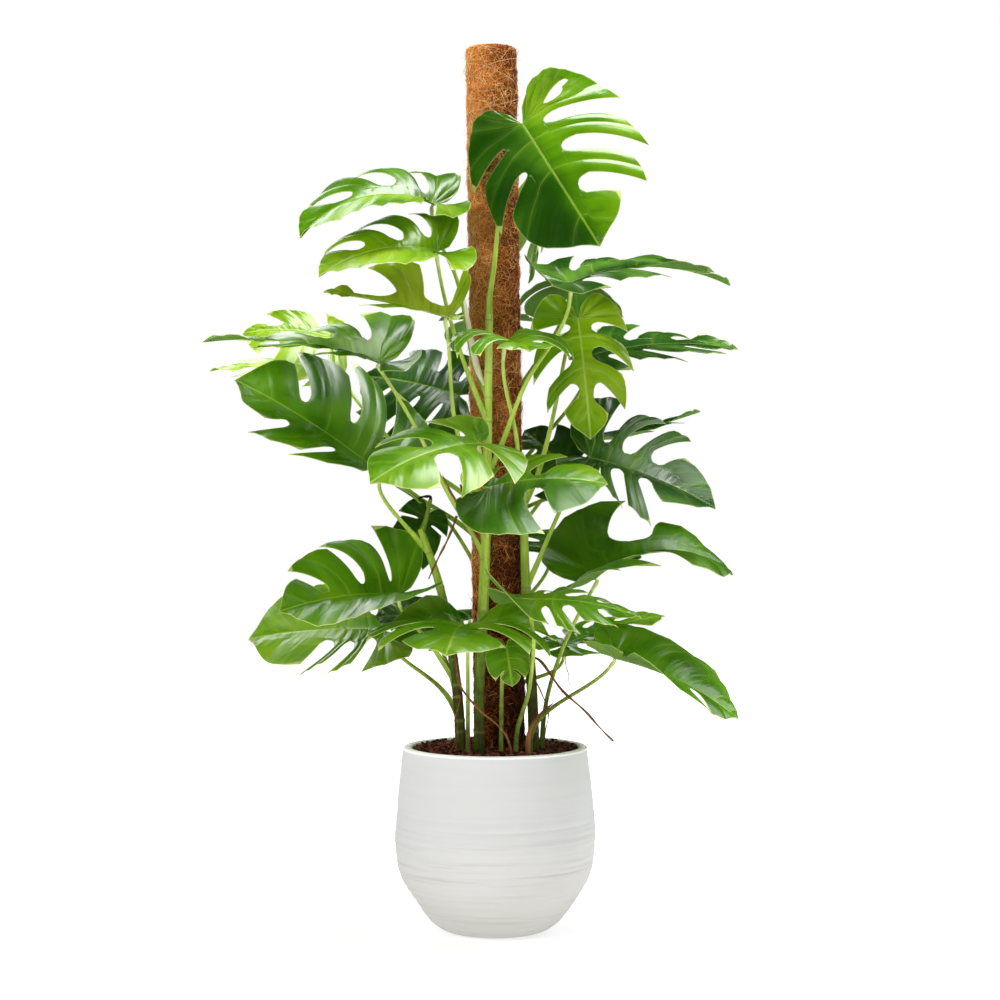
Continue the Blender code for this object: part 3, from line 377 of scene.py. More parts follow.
LEAVES = [
    # The top leaf's left half is given a darker tone than its right: painted shade, for the half turned away
    # from the light
    Leaf("top", (0.045, -0.08, 1.355), (0.17, -0.17, 1.14), (-0.20, -0.9, 0.15), stem="front", foot=1.03,
         spread=0.0, arch=25, fold=(0, 5), droop=(32, 40), heel=45, depth=(0.30, 0.22), gap_width=0.034,
         narrow=(0.6, 1.0), width=0.95, halves=(0.78, 1.0), pierced=(1,), skip=((0, 2),), tone=(0.24, 0.58),
         seed=1, via=[(-0.002, -0.060, 1.12), (0.010, -0.062, 1.225)]),
    Leaf("top_back", (0.06, 0.16, 1.335), (0.06, 0.17, 1.115), (0.95, 0.3, 0.1), stem="back", foot=1.17,
         width=0.55, arch=25, gaps=2, tone=0.55, seed=2),
    Leaf("back_01", (-0.015, 0.16, 1.05), (-0.02, 0.36, 0.99), (0, 0.3, 0.95), stem="back", foot=0.92,
         width=0.6, arch=40, gaps=2, tone=0.3, seed=32),
    Leaf("left_01", (-0.105, -0.02, 1.23), (-0.325, -0.08, 1.165), (-0.1, -0.18, 0.96), stem="front",
         foot=0.90, arch=75, fold=(45, 0), droop=(45, 15), heel=90, width=0.85, depth=(0.14, 0.28),
         gap_width=0.034, skip=((1, 1), (1, 2)), tone=(0.42, 0.58), seed=3, via=[(-0.065, -0.06, 1.10)]),
    Leaf("left_02", (-0.095, -0.1, 1.14), (-0.285, -0.18, 1.09), (-0.1, -0.30, 0.94), stem="front", foot=0.86,
         arch=50, fold=(55, 0), droop=(65, 15), heel=80, width=0.85, depth=(0.16, 0.28), gap_width=0.034,
         skip=((1, 1), (1, 2)), tone=(0.62, 0.7), seed=4),
    Leaf("left_03", (-0.08, -0.12, 1.03), (-0.28, -0.14, 1.07), (0.1, -0.25, 0.95), stem="front", foot=0.70,
         arch=10, fold=(60, 12), droop=(10, 10), heel=60, gaps=2, gap_width=0.09, depth=(0.15, 0.2),
         width=0.75, flat=1.0, back=0.55, tone=(0.92, 0.84), seed=5, young=True,
         via=[(-0.065, -0.080, 0.85)]),
    Leaf("left_04", (-0.195, -0.05, 0.96), (-0.48, -0.12, 0.99), (0, -0.12, 1), stem="front", foot=0.63,
         lean=0.6, arch=28, fold=(38, 5), droop=(20, 20), heel=95, flat=1.9, width=0.85, tone=(0.5, 0.44),
         seed=6, via=[(-0.075, -0.090, 0.735), (-0.140, -0.065, 0.863)]),
    Leaf("left_05", (-0.295, 0.17, 1.02), (-0.45, 0.16, 1.025), (0, -0.7, 0.7), stem="back", foot=0.66,
         arch=40, fold=(10, 10), droop=(20, 20), width=0.9, halves=(0.5, 1.5), gaps=2, gap_width=0.05,
         young=True, tone=(0.66, 0.74), seed=7, via=[(-0.18, 0.09, 0.83)]),
    Leaf("left_06", (-0.325, 0.26, 0.96), (-0.52, 0.25, 0.965), (0, -0.2, 1), stem="back", foot=0.60, arch=30,
         fold=(15, 0), width=0.7, gaps=2, tone=0.66, seed=8, via=[(-0.17, 0.18, 0.76)]),
    Leaf("left_07", (-0.19, -0.02, 0.77), (-0.435, -0.06, 0.93), (0.42, -0.72, 0.55), stem="left", foot=0.64,
         arch=20, fold=(5, 45), droop=(20, 0), gap_width=0.018, depth=(0.3, 0.4), width=1.15,
         halves=(0.9, 0.72), tone=(0.38, 0.46), seed=9),
    Leaf("left_08", (-0.16, -0.06, 0.57), (-0.355, -0.12, 0.545), (0, -0.55, 0.85), stem="left", foot=0.42,
         arch=30, fold=(38, 38), droop=(30, 10), heel=60, width=1.0, depth=(0.14, 0.28), gap_width=0.020,
         skip=((1, 0), (1, 1), (1, 2)), tone=(0.42, 0.52), seed=20, via=[(-0.115, -0.085, 0.50)]),
    Leaf("left_09", (-0.19, 0.03, 0.505), (-0.425, 0.04, 0.49), (0, -0.5, 0.87), stem="left", foot=0.36,
         arch=20, fold=(0, 12), last=0.64, holes=((0, 1), (0, 2)), flat=1.1, droop=(10, 0), width=1.05,
         tone=(0.62, 0.7), seed=21),
    Leaf("left_10", (-0.095, 0.0, 0.52), (-0.205, -0.01, 0.53), (0, -0.6, 0.8), stem="left", foot=0.40,
         arch=35, width=0.9, gaps=2, gap_width=0.015, droop=(20, 50), tone=0.24, seed=25),
    Leaf("right_01", (0.125, -0.03, 1.095), (0.4, 0.0, 1.095), (0, -0.15, 1), stem="front", foot=0.77,
         arch=50, fold=(3, 14), droop=(5, 15), heel=100, tone=(0.26, 0.32), seed=12,
         via=[(0.045, -0.095, 0.91)]),
    Leaf("back_02", (0.13, 0.05, 1.1), (0.15, 0.2, 1.05), (0.1, 0.2, 1), stem="back", foot=0.85, arch=40,
         droop=(60, 60), gaps=2, gap_width=0.02, tone=0.4, seed=30),
    Leaf("right_02", (0.14, -0.02, 1.035), (0.16, -0.05, 0.83), (0.1, -1, 0.2), stem="right", foot=0.72,
         arch=20, width=0.62, droop=(40, 40), gap_width=0.040, depth=(0.22, 0.22), young=True,
         tone=(0.64, 0.72), seed=13),
    Leaf("right_03", (0.17, 0.13, 0.985), (0.435, 0.19, 1.0), (0, -0.28, 1), stem="back", foot=0.72, arch=25,
         fold=(8, 8), droop=(10, 10), heel=40, width=0.8, tone=0.28, seed=15),
    Leaf("right_04", (0.125, 0.18, 0.825), (0.37, 0.22, 0.89), (-0.3, -0.06, 1), stem="back", foot=0.60,
         arch=-8, fold=(12, 5), droop=(10, 10), width=0.8, gaps=2, gap_width=0.05, tone=0.26, seed=16),
    Leaf("right_05", (0.16, -0.03, 0.80), (0.37, -0.05, 0.715), (0.3, -0.30, 0.9), stem="right", foot=0.58,
         arch=20, fold=(8, 40), droop=(30, 10), gap_width=0.030, depth=(0.2, 0.25), last=0.68,
         tone=(0.22, 0.28), seed=17),
    Leaf("right_06", (0.170, 0.02, 0.595), (0.41, 0.05, 0.6), (0, -0.3, 0.95), lean=0.75, arch=85,
         fold=(32, 35), droop=(20, 20), heel=40, gaps=1, last=0.6, gap_width=0.07, width=0.88, tone=0.46,
         seed=18),
    Leaf("right_07", (0.12, 0.16, 0.47), (0.305, 0.22, 0.52), (0, -0.15, 1), stem="back", foot=0.36, arch=20,
         fold=(10, 10), width=0.8, tone=0.56, seed=24),
    Leaf("right_08", (0.2, -0.06, 0.465), (0.405, -0.08, 0.365), (0.1, -0.35, 1), arch=30, fold=(35, 12),
         droop=(10, 20), gaps=2, skip=((1, 0), (1, 1)), tone=0.5, seed=23),
    Leaf("front_01", (0.015, -0.09, 0.985), (0.055, -0.25, 0.965), (0, 0.05, 1), stem="right", foot=0.70,
         arch=20, fold=(45, 45), droop=(80, 80), heel=20, tone=0.54, seed=14, via=[(0.037, -0.062, 0.82)]),
    Leaf("front_02", (-0.025, -0.20, 0.82), (-0.195, -0.30, 0.755), (-0.1, -0.5, 0.85), stem="front",
         foot=0.67, arch=35, fold=(12, 8), gaps=2, depth=(0.15, 0.15), gap_width=0.045, last=0.66, width=0.9,
         tone=(0.5, 0.56), seed=10, via=[(-0.054, -0.115, 0.765)]),
    Leaf("front_03", (-0.01, -0.19, 0.75), (0.18, -0.22, 0.755), (0.05, -0.5, 0.85), stem="front", foot=0.54,
         arch=30, fold=(3, 5), droop=(15, 30), gaps=2, depth=(0.2, 0.15), gap_width=0.04, last=0.66, heel=40,
         skip=((0, 0),), width=0.9, halves=(1.3, 1.0), tone=(0.34, 0.56), seed=11),
    Leaf("front_04", (0.065, -0.20, 0.57), (0.235, -0.20, 0.54), (0, -0.3, 0.95), young=True, arch=25,
         fold=(-5, 5), droop=(25, 40), heel=25, back=2.4, back_twist=-110, width=0.65, tone=0.48, seed=19,
         via=[(0.056, -0.135, 0.42), (0.063, -0.166, 0.505)]),
    Leaf("front_05", (-0.045, -0.12, 0.52), (-0.075, -0.34, 0.49), (0, -0.2, 1), arch=40, fold=(15, 15),
         droop=(40, 40), heel=150, last=0.72, tone=0.56, seed=22),
    Leaf("front_06", (0.018, -0.138, 0.49), (0.028, -0.155, 0.425), (0, -0.7, 0.7), arch=30, gaps=1,
         gap_width=0.012, width=0.8, tone=0.5, seed=31),
    Leaf("back_03", (-0.065, 0.15, 0.915), (-0.245, 0.26, 0.955), (0.1, -0.8, 0.6), stem="back", foot=0.78,
         arch=20, width=0.9, gap_width=0.018, tone=(0.12, 0.16), seed=26),
    Leaf("back_04", (-0.12, 0.06, 0.70), (-0.17, 0.1, 0.60), (0.1, -0.9, 0.3), stem="back", foot=0.54,
         arch=20, width=0.6, gaps=2, gap_width=0.015, tone=0.22, seed=27),
    Leaf("back_05", (0.130, 0.015, 0.77), (0.050, 0.060, 0.85), (-0.2, -0.8, 0.55), stem="back", foot=0.66,
         arch=30, width=0.85, gaps=2, gap_width=0.02, tone=(0.1, 0.14), seed=33),
    Leaf("back_06", (0.1, 0.135, 0.64), (0.215, 0.31, 0.65), (0.2, -0.1, 1), stem="back", foot=0.48, arch=40,
         width=0.9, gaps=2, seed=34),
    Leaf("back_07", (-0.045, 0.14, 0.52), (-0.105, 0.36, 0.495), (0, 0.1, 1), stem="back", foot=0.42, arch=40,
         width=0.9, gaps=2, seed=35),
]


# Materials

def rgb(red, green, blue):
    """A screen colour, 0 to 255, as the linear colour that a shader takes."""
    def linear(value):
        value /= 255
        return value / 12.92 if value <= 0.04045 else ((value + 0.055) / 1.055) ** 2.4
    return (linear(red), linear(green), linear(blue), 1.0)


class Nodes:
    """A node tree, with a short call for each kind of node used here."""

    def __init__(self, tree):
        self.tree = tree

    def put(self, socket, value):
        if isinstance(value, bpy.types.NodeSocket):
            self.tree.links.new(value, socket)
        else:
            socket.default_value = value

    def math(self, operation, first, second=0.0, third=0.0):
        node = self.tree.nodes.new("ShaderNodeMath")
        node.operation = operation
        for socket, value in zip(node.inputs, (first, second, third)):
            self.put(socket, value)
        return node.outputs[0]

    def times(self, first, second):
        return self.math("MULTIPLY", first, second)

    def plus(self, first, second):
        return self.math("ADD", first, second)

    def swing(self, value, reach):
        """How far value lies from its middle, 0.5, times reach."""
        return self.times(self.math("SUBTRACT", value, 0.5), reach)

    def scaled(self, vector, x, y, z):
        node = self.tree.nodes.new("ShaderNodeVectorMath")
        node.operation = "MULTIPLY"
        self.put(node.inputs[0], vector)
        node.inputs[1].default_value = (x, y, z)
        return node.outputs[0]

    def vector(self, x, y, z):
        node = self.tree.nodes.new("ShaderNodeCombineXYZ")
        for socket, value in zip(node.inputs, (x, y, z)):
            self.put(socket, value)
        return node.outputs[0]

    def parts(self, vector):
        node = self.tree.nodes.new("ShaderNodeSeparateXYZ")
        self.put(node.inputs[0], vector)
        return node.outputs

    def span(self, value, low, high, start=0.0, end=1.0):
        """value from low to high, as start to end, smoothly."""
        node = self.tree.nodes.new("ShaderNodeMapRange")
        node.interpolation_type = "SMOOTHSTEP"
        for socket, number in zip(node.inputs, (value, low, high, start, end)):
            self.put(socket, number)
        return node.outputs[0]

    def mix(self, share, first, second, blend="MIX"):
        node = self.tree.nodes.new("ShaderNodeMix")
        node.data_type = "RGBA"
        node.blend_type = blend
        self.put(node.inputs["Factor"], share)
        self.put(node.inputs[6], first)
        self.put(node.inputs[7], second)
        return node.outputs[2]

    def ramp(self, value, stops):
        node = self.tree.nodes.new("ShaderNodeValToRGB")
        self.put(node.inputs[0], value)
        elements = node.color_ramp.elements
        elements[0].position, elements[1].position = stops[0][0], stops[-1][0]
        for place, _ in stops[1:-1]:
            elements.new(place)
        for element, (_, color) in zip(elements, stops):
            element.color = color
        return node.outputs[0]


class Look(Nodes):
    """One procedural material."""

    def __init__(self, name, roughness=0.5, specular=0.5):
        self.made = bpy.data.materials.new(name)
        self.made.use_nodes = True
        super().__init__(self.made.node_tree)
        self.shader = self.tree.nodes["Principled BSDF"]
        self.shader.inputs["Roughness"].default_value = roughness
        self.shader.inputs["Specular IOR Level"].default_value = specular
        self.place = self.tree.nodes.new("ShaderNodeTexCoord").outputs["Object"]

    def attribute(self, name):
        node = self.tree.nodes.new("ShaderNodeAttribute")
        node.attribute_name = name
        return node.outputs["Fac"]

    def noise(self, scale, detail=3.0, rough=0.5, vector=None, distortion=0.0):
        node = self.tree.nodes.new("ShaderNodeTexNoise")
        self.put(node.inputs["Vector"], self.place if vector is None else vector)
        node.inputs["Scale"].default_value = scale
        node.inputs["Detail"].default_value = detail
        node.inputs["Roughness"].default_value = rough
        node.inputs["Distortion"].default_value = distortion
        return node.outputs["Fac"]

    def bump(self, height, distance, strength=1.0):
        """Small relief, in metres. Its normal is given back for a second shader."""
        node = self.tree.nodes.new("ShaderNodeBump")
        node.inputs["Strength"].default_value = strength
        node.inputs["Distance"].default_value = distance
        self.put(node.inputs["Height"], height)
        self.tree.links.new(node.outputs[0], self.shader.inputs["Normal"])
        return node.outputs[0]

    def paint(self, color, roughness):
        self.put(self.shader.inputs["Base Color"], color)
        self.put(self.shader.inputs["Roughness"], roughness)

    def let_light_through(self, color, share, normal=None):
        """Mix in a Translucent shader, for thin green tissue."""
        through = self.tree.nodes.new("ShaderNodeBsdfTranslucent")
        self.put(through.inputs["Color"], color)
        if normal is not None:
            self.put(through.inputs["Normal"], normal)
        both = self.tree.nodes.new("ShaderNodeMixShader")
        both.inputs[0].default_value = share
        self.tree.links.new(self.shader.outputs[0], both.inputs[1])
        self.tree.links.new(through.outputs[0], both.inputs[2])
        self.tree.links.new(both.outputs[0], self.tree.nodes["Material Output"].inputs["Surface"])


def blade_look(name, under):
    """Leaf tissue: veins, margin, tone and gloss come from the blade's own measures."""
    look = Look(name, specular=0.75)
    tone = look.attribute("tone")
    vein = look.attribute("vein")
    rib = look.attribute("rib")
    edge = look.attribute("edge")
    out = look.attribute("out")
    around = look.attribute("around")
    patches = look.noise(11.0, 1.0, 0.4)
    grain = look.noise(260.0, 1.0)
    shade = look.plus(tone, look.swing(patches, 0.60))
    green = look.ramp(shade, BLADE_STOPS)
    # Narrow bands between the side veins: relief in the bump, and painted shade of these ridges darkening the
    # colour
    fan = look.noise(1.0, 1.0, 0.4, look.vector(look.times(around, 38.0), look.times(out, 2.0), tone))
    green = look.mix(look.span(fan, 0.42, 0.75, 0.0, 0.32), green, rgb(20, 56, 6))
    near_vein = look.times(look.span(vein, 0.0, 0.010, 1.0, 0.0), 0.12)
    green = look.mix(near_vein, green, look.ramp(shade, VEIN_STOPS))
    # Side veins, thinner towards the margin, and the midrib, as widths in metres
    width = look.span(out, 0.0, 1.0, 0.00125, 0.0004)
    line = look.span(look.math("DIVIDE", vein, width), 0.55, 1.25, 0.45, 0.0)
    rib_line = look.span(rib, 0.0013, 0.0025, 0.95, 0.0)
    vein_color = look.ramp(shade, VEIN_STOPS)
    green = look.mix(look.math("MAXIMUM", line, rib_line), green, vein_color)
    margin = look.span(edge, 0.0004, 0.0014, 0.85, 0.0)
    green = look.mix(margin, green, look.ramp(shade, MARGIN_STOPS))
    if under:
        green = look.mix(0.42, green, rgb(150, 180, 95))
    look.paint(green, look.span(patches, 0.3, 0.7, *(UNDER_ROUGHNESS if under else UPPER_ROUGHNESS)))
    normal = look.bump(look.plus(fan, look.times(grain, 0.03)), 0.0020, 0.7)
    look.let_light_through(look.mix(0.35, look.ramp(shade, THROUGH_STOPS), vein_color), 0.34, normal)
    return look.made


BLADE_STOPS = [(0.0, rgb(20, 50, 10)), (0.25, rgb(38, 84, 4)), (0.5, rgb(92, 144, 2)),
               (0.75, rgb(144, 182, 10)), (1.0, rgb(196, 212, 54))]
VEIN_STOPS = [(0.0, rgb(84, 120, 44)), (0.5, rgb(152, 192, 44)), (1.0, rgb(210, 224, 116))]
MARGIN_STOPS = [(0.0, rgb(120, 150, 90)), (0.5, rgb(214, 220, 120)), (1.0, rgb(236, 236, 160))]
THROUGH_STOPS = [(0.0, rgb(50, 110, 16)), (0.5, rgb(124, 196, 20)), (1.0, rgb(186, 202, 76))]
UPPER_ROUGHNESS = (0.24, 0.36)
UNDER_ROUGHNESS = (0.46, 0.56)


def stem_look():
    """Green stems and leaf stalks: pale above; darker low down, partly painted shade under the leaves, and
    browner there with old wood's scars.
    """
    look = Look("stem_green", specular=0.45)
    age_and_shade = look.attribute("age_and_shade")
    ring = look.attribute("ring")
    light = look.attribute("light")
    streaks = look.noise(1.0, 3.0, 0.6, look.scaled(look.place, 260.0, 260.0, 26.0))
    spots = look.noise(55.0, 4.0, 0.65)
    green = look.ramp(look.plus(light, look.swing(streaks, 0.5)),
                      [(0.0, rgb(62, 92, 14)), (0.35, rgb(120, 158, 34)), (0.65, rgb(184, 208, 84)),
                       (1.0, rgb(226, 236, 154))])
    # Painted shade and old wood: low down the green turns near-black, as under the leaves
    green = look.mix(age_and_shade, green, look.mix(streaks, rgb(22, 32, 6), rgb(60, 76, 18)))
    scars = look.times(age_and_shade, look.span(spots, 0.42, 0.58, 0.0, 0.9))
    green = look.mix(scars, green, rgb(70, 42, 20))
    green = look.mix(look.span(ring, 0.2, 0.6, 0.0, 0.35), green, rgb(150, 150, 84))
    green = look.mix(look.span(ring, 0.8, 0.97, 0.0, 0.6), green, rgb(88, 66, 30))
    look.paint(green, look.span(spots, 0.3, 0.7, 0.32, 0.5))
    normal = look.bump(look.plus(streaks, look.times(spots, 0.5)), 0.0006, 0.5)
    look.let_light_through(look.mix(0.5, green, rgb(190, 220, 90)), 0.12, normal)
    return look.made


def sheath_look(name, color, dark):
    """Dry skin, streaked along the stalk."""
    look = Look(name, specular=0.4)
    streaks = look.noise(1.0, 3.0, 0.6, look.scaled(look.place, 420.0, 420.0, 22.0))
    look.paint(look.mix(look.span(streaks, 0.35, 0.75, 0.0, 0.7), color, dark), 0.5)
    look.bump(streaks, 0.0006, 0.6)
    return look.made


def root_look():
    look = Look("root_brown", specular=0.25)
    spots = look.noise(160.0, 4.0, 0.7)
    brown = look.ramp(spots, [(0.25, rgb(62, 34, 16)), (0.5, rgb(112, 70, 38)), (0.8, rgb(160, 118, 74))])
    look.paint(brown, 0.8)
    look.bump(spots, 0.0008, 0.8)
    return look.made


def felt_look():
    """The pole's mat of coir: pale hairs and dark gaps, whose darkness is painted shade; paler where the mark
    tone, which carries painted light and shade, is higher.
    """
    look = Look("coir_felt", specular=0.2)
    fine = look.noise(420.0, 4.0, 0.7, distortion=0.8)
    broad = look.noise(26.0, 3.0, 0.6)
    both = look.plus(look.times(fine, 0.8), look.times(broad, 0.2))
    both = look.plus(both, look.swing(look.attribute("tone"), 0.20))
    # The darkest colour is painted shade, for the gaps between the hairs
    brown = look.ramp(both, [(0.40, rgb(30, 11, 4)), (0.5, rgb(104, 52, 18)), (0.62, rgb(222, 140, 66))])
    look.paint(brown, 0.9)
    look.bump(fine, 0.003, 1.0)
    return look.made


def fibre_look():
    look = Look("coir_fibre", specular=0.35)
    # The fibres' tone carries the pole's painted light on the left and painted shade low down
    tone = look.attribute("tone")
    along = look.noise(120.0, 2.0)
    shade = look.plus(tone, look.swing(along, 0.35))
    look.paint(look.ramp(shade, [(0.0, rgb(60, 22, 4)), (0.25, rgb(146, 70, 20)), (0.5, rgb(224, 134, 52)),
                                 (0.75, rgb(252, 180, 90)), (1.0, rgb(255, 218, 150))]), 0.6)
    look.let_light_through(rgb(200, 130, 60), 0.15)
    return look.made


def thread_look():
    look = Look("pale_thread", specular=0.5)
    twist = look.noise(900.0, 2.0)
    look.paint(look.ramp(twist, [(0.3, rgb(196, 150, 96)), (0.7, rgb(236, 206, 156))]), 0.5)
    look.bump(twist, 0.0002, 0.6)
    return look.made


def wood_look():
    look = Look("core_wood", specular=0.3)
    grain = look.noise(1.0, 4.0, 0.6, look.scaled(look.place, 380.0, 380.0, 14.0), 0.6)
    brown = look.ramp(grain, [(0.3, rgb(112, 82, 50)), (0.6, rgb(178, 142, 96)), (0.8, rgb(204, 172, 124))])
    look.paint(brown, 0.7)
    look.bump(grain, 0.0008, 0.6)
    return look.made


def soil_look(name, light):
    """Bark soil. light makes its paler bits paler, in steps of the screen colour."""
    look = Look(name, specular=0.2)
    tone = look.attribute("tone")
    spots = look.noise(240.0, 5.0, 0.7)
    shade = look.plus(look.times(tone, 0.6), look.times(spots, 0.5))
    brown = rgb(98 + light, 56 + light / 2, 42 + light / 2)
    pale = rgb(150 + light, 98 + light / 2, 76 + light / 2)
    color = look.ramp(shade, [(0.2, rgb(20, 10, 7)), (0.5, rgb(62, 34, 24)), (0.75, brown), (1.0, pale)])
    look.paint(color, 0.9)
    look.bump(spots, 0.003, 1.0)
    return look.made


# Height above which the rim's top is painted near white: painted light
RIM_PAINTED_LIGHT_FROM = 0.3055


def plaster_look():
    """Matt plaster with fine trowel rings low down, a little warmer at the foot, and painted light on the
    rim, whose top is painted near white as if well lit.
    """
    look = Look("plaster", specular=0.25)
    height = look.parts(look.place)[2]
    rings = look.noise(1.0, 3.0, 0.55, look.scaled(look.place, 5.0, 5.0, 150.0))
    clouds = look.noise(9.0, 4.0, 0.6)
    grain = look.noise(900.0, 3.0, 0.6)
    white = look.mix(look.span(height, 0.02, 0.22, 1.0, 0.0), rgb(201, 201, 201), rgb(207, 205, 200))
    white = look.mix(look.span(clouds, 0.4, 0.75, 0.0, 0.35), white, rgb(205, 202, 197))
    low = look.span(height, 0.12, 0.24, 1.0, 0.25)
    white = look.mix(look.times(look.span(rings, 0.5, 0.72, 0.0, 0.34), low), white, rgb(176, 171, 162))
    # Painted light: the rim's top painted near white, as if well lit
    white = look.mix(look.span(height, RIM_PAINTED_LIGHT_FROM, RIM_PAINTED_LIGHT_FROM + 0.003), white, rgb(252, 252, 250))
    look.paint(white, 0.85)
    look.bump(look.plus(look.times(rings, low), look.times(grain, 0.2)), 0.0016, 0.7)
    return look.made


# Fine blades

BLADE_ROWS = 13
NEAR_RIB_ROWS = (0.0, 0.012, 0.032)
CUT_STEPS = (0.0, 0.005, 0.018, 0.045, 0.085)
LEAST_STEP = 0.004
LEAST_COLUMN_STEP = 0.02
FIRST_FREE_ROW = 0.07
VEIN_STEPS = (0.0, 0.026, 0.085)
BASAL_VEINS = (0.20, 0.50, 0.80)
BASAL_COLUMNS = 11
LOBE_COLUMNS = 7
# Relief between the veins and waves of the margin, in shares of the leaf's length
RELIEF = 0.026
RELIEF_SPAN = 0.45
PUFF = 0.75
WAVE = 0.010
WAVE_COUNT = 3.2
FLAT_AT_RIB = 0.08
FINE_THICKNESS = 0.0009
RIB_HEIGHT = 0.0017
RIB_REACH = 0.0028
VEIN_HEIGHT = 0.0006
VEIN_REACH = 0.0014
# The ribs' height falls to nothing past the margin, and shows this much as a dip above
RIB_END = 1.15
RIB_DIP = 0.35
# A measure that is larger than any distance on a blade, and the distance at which points are one
FAR = 1.0
WELD_REACH = 2e-6
# How wide the two halves' tones run together at the midrib
TONE_BLEND = 0.025


def spaced(values, kept, least):
    """Sorted values, without those that lie too near a kept one or the one before."""
    result = []
    for value in sorted(values):
        if value in kept:
            while result and value - result[-1] < least and result[-1] not in kept:
                result.pop()
            result.append(value)
        elif not result or value - result[-1] >= least:
            result.append(value)
    return np.array(result)


def fine_rows(cuts):
    """Shares from the midrib out to the margin, closer together where a cut begins or ends."""
    rows = list(NEAR_RIB_ROWS) + list(np.linspace(FIRST_FREE_ROW, 1.0, BLADE_ROWS))
    kept = {0.0, 1.0}
    for _, inner, outer, _, _ in cuts:
        rows += [inner + step for step in CUT_STEPS if inner < 1]
        rows += [outer - step for step in CUT_STEPS if outer < 1]
        kept |= {end for end in (inner, outer) if end < 1}
    return spaced([row for row in rows if row <= 1.0], kept, LEAST_STEP)


def fine_columns(veins, count):
    """Shares across a lobe, closer together beside its veins."""
    columns = list(np.linspace(0.0, 1.0, count))
    for vein in veins:
        columns += [vein + sign * step for step in VEIN_STEPS for sign in (-1, 1)]
    return spaced(columns, {0.0, 1.0, *veins}, LEAST_COLUMN_STEP)


def vein_share(columns, veins):
    """How far each column is from its vein, as a share of the way to the next one or to the lobe's edge."""
    stops = [0.0] + [(a + b) / 2 for a, b in zip(veins, veins[1:])] + [1.0]
    share = np.empty(len(columns))
    nearest = np.empty(len(columns), int)
    for number, column in enumerate(columns):
        cell = min(int(np.searchsorted(stops[1:-1], column)), len(veins) - 1)
        end = stops[cell] if column < veins[cell] else stops[cell + 1]
        share[number] = abs(column - veins[cell]) / abs(end - veins[cell])
        nearest[number] = int(np.argmin(np.abs(columns - veins[cell])))
    return share, nearest


def distance(a, b):
    return np.linalg.norm(a - b, axis=-1)


def fine_sheet(leaf):
    """Middle surface of a blade: points, faces and the measures that its material reads."""
    all_points, all_marks, quads = [], [], []
    count = 0
    for side in (0, 1):
        cuts = leaf.cuts[side]
        rows = fine_rows(cuts)
        for lobe in range(len(cuts) + 1):
            veins = BASAL_VEINS if lobe == 0 else (0.5,)
            columns = fine_columns(veins, BASAL_COLUMNS if lobe == 0 else LOBE_COLUMNS)
            share, nearest = vein_share(columns, veins)
            low, low_open, high, high_open = 0 * rows, 0 * rows, 1 + 0 * rows, 0 * rows
            if lobe:
                low, low_open = edge_of(cuts[lobe - 1], rows, 1)
            if lobe < len(cuts):
                high, high_open = edge_of(cuts[lobe], rows, -1)
            grid = np.empty((len(rows), len(columns), 3))
            marks = np.empty((len(rows), len(columns), 5))
            for number, column in enumerate(columns):
                t = low + (high - low) * column
                trim = 1 - LOBE_TRIM * low_open * (1 - column) ** LOBE_TRIM_POWER
                trim = trim + LOBE_HOOK * high_open * column ** 4
                flat_points = vein_point(t, rows * trim)
                form = PUFF * math.sin(math.pi / 2 * share[number]) - abs(2 * column - 1) ** 3
                relief = RELIEF * form * np.clip(rows / RELIEF_SPAN, 0, 1)
                relief += WAVE * np.sin(2 * math.pi * (WAVE_COUNT * t + leaf.phase[side])) * rows ** 3
                relief *= np.clip(flat_points[:, 1] / FLAT_AT_RIB, 0, 1)
                grid[:, number] = leaf.place(side, flat_points, rows, leaf.lobe_sag[side][lobe], relief)
                marks[:, number, 1] = np.abs(flat_points[:, 1]) * leaf.widths[side] * leaf.length
                marks[:, number, 3] = rows
                marks[:, number, 4] = t + 2 * side
            marks[:, :, 0] = distance(grid, grid[:, nearest])
            edge = distance(grid, grid[-1][None])
            lower = distance(grid, grid[:, :1]) + FAR * (low_open == 0)[:, None] * (lobe > 0)
            upper = distance(grid, grid[:, -1:]) + FAR * (high_open == 0)[:, None]
            marks[:, :, 2] = np.minimum(edge, np.minimum(lower, upper))
            size = grid.shape[0] * grid.shape[1]
            numbers = count + np.arange(size).reshape(grid.shape[:2])
            corners = [numbers[:-1, :-1], numbers[:-1, 1:], numbers[1:, 1:], numbers[1:, :-1]]
            corners = np.stack(corners, axis=-1).reshape(-1, 4)
            quads.append(corners[:, ::-1] if side == 0 else corners)
            all_points.append(grid.reshape(-1, 3))
            all_marks.append(marks.reshape(-1, 5))
            count += size
    return weld(np.concatenate(all_points), np.concatenate(all_marks), np.concatenate(quads))


def weld(points, marks, quads):
    """Join points that lie together and split the faces into triangles, alike for both sides."""
    keys = np.round(points / WELD_REACH).astype(np.int64)
    _, first, where = np.unique(keys, axis=0, return_index=True, return_inverse=True)
    where = where.reshape(-1)
    quads = where[quads]
    triangles = np.concatenate([quads[:, [0, 1, 2]], quads[:, [0, 2, 3]]])
    a, b, c = triangles.T
    triangles = triangles[(a != b) & (b != c) & (a != c)]
    return points[first], marks[first], triangles


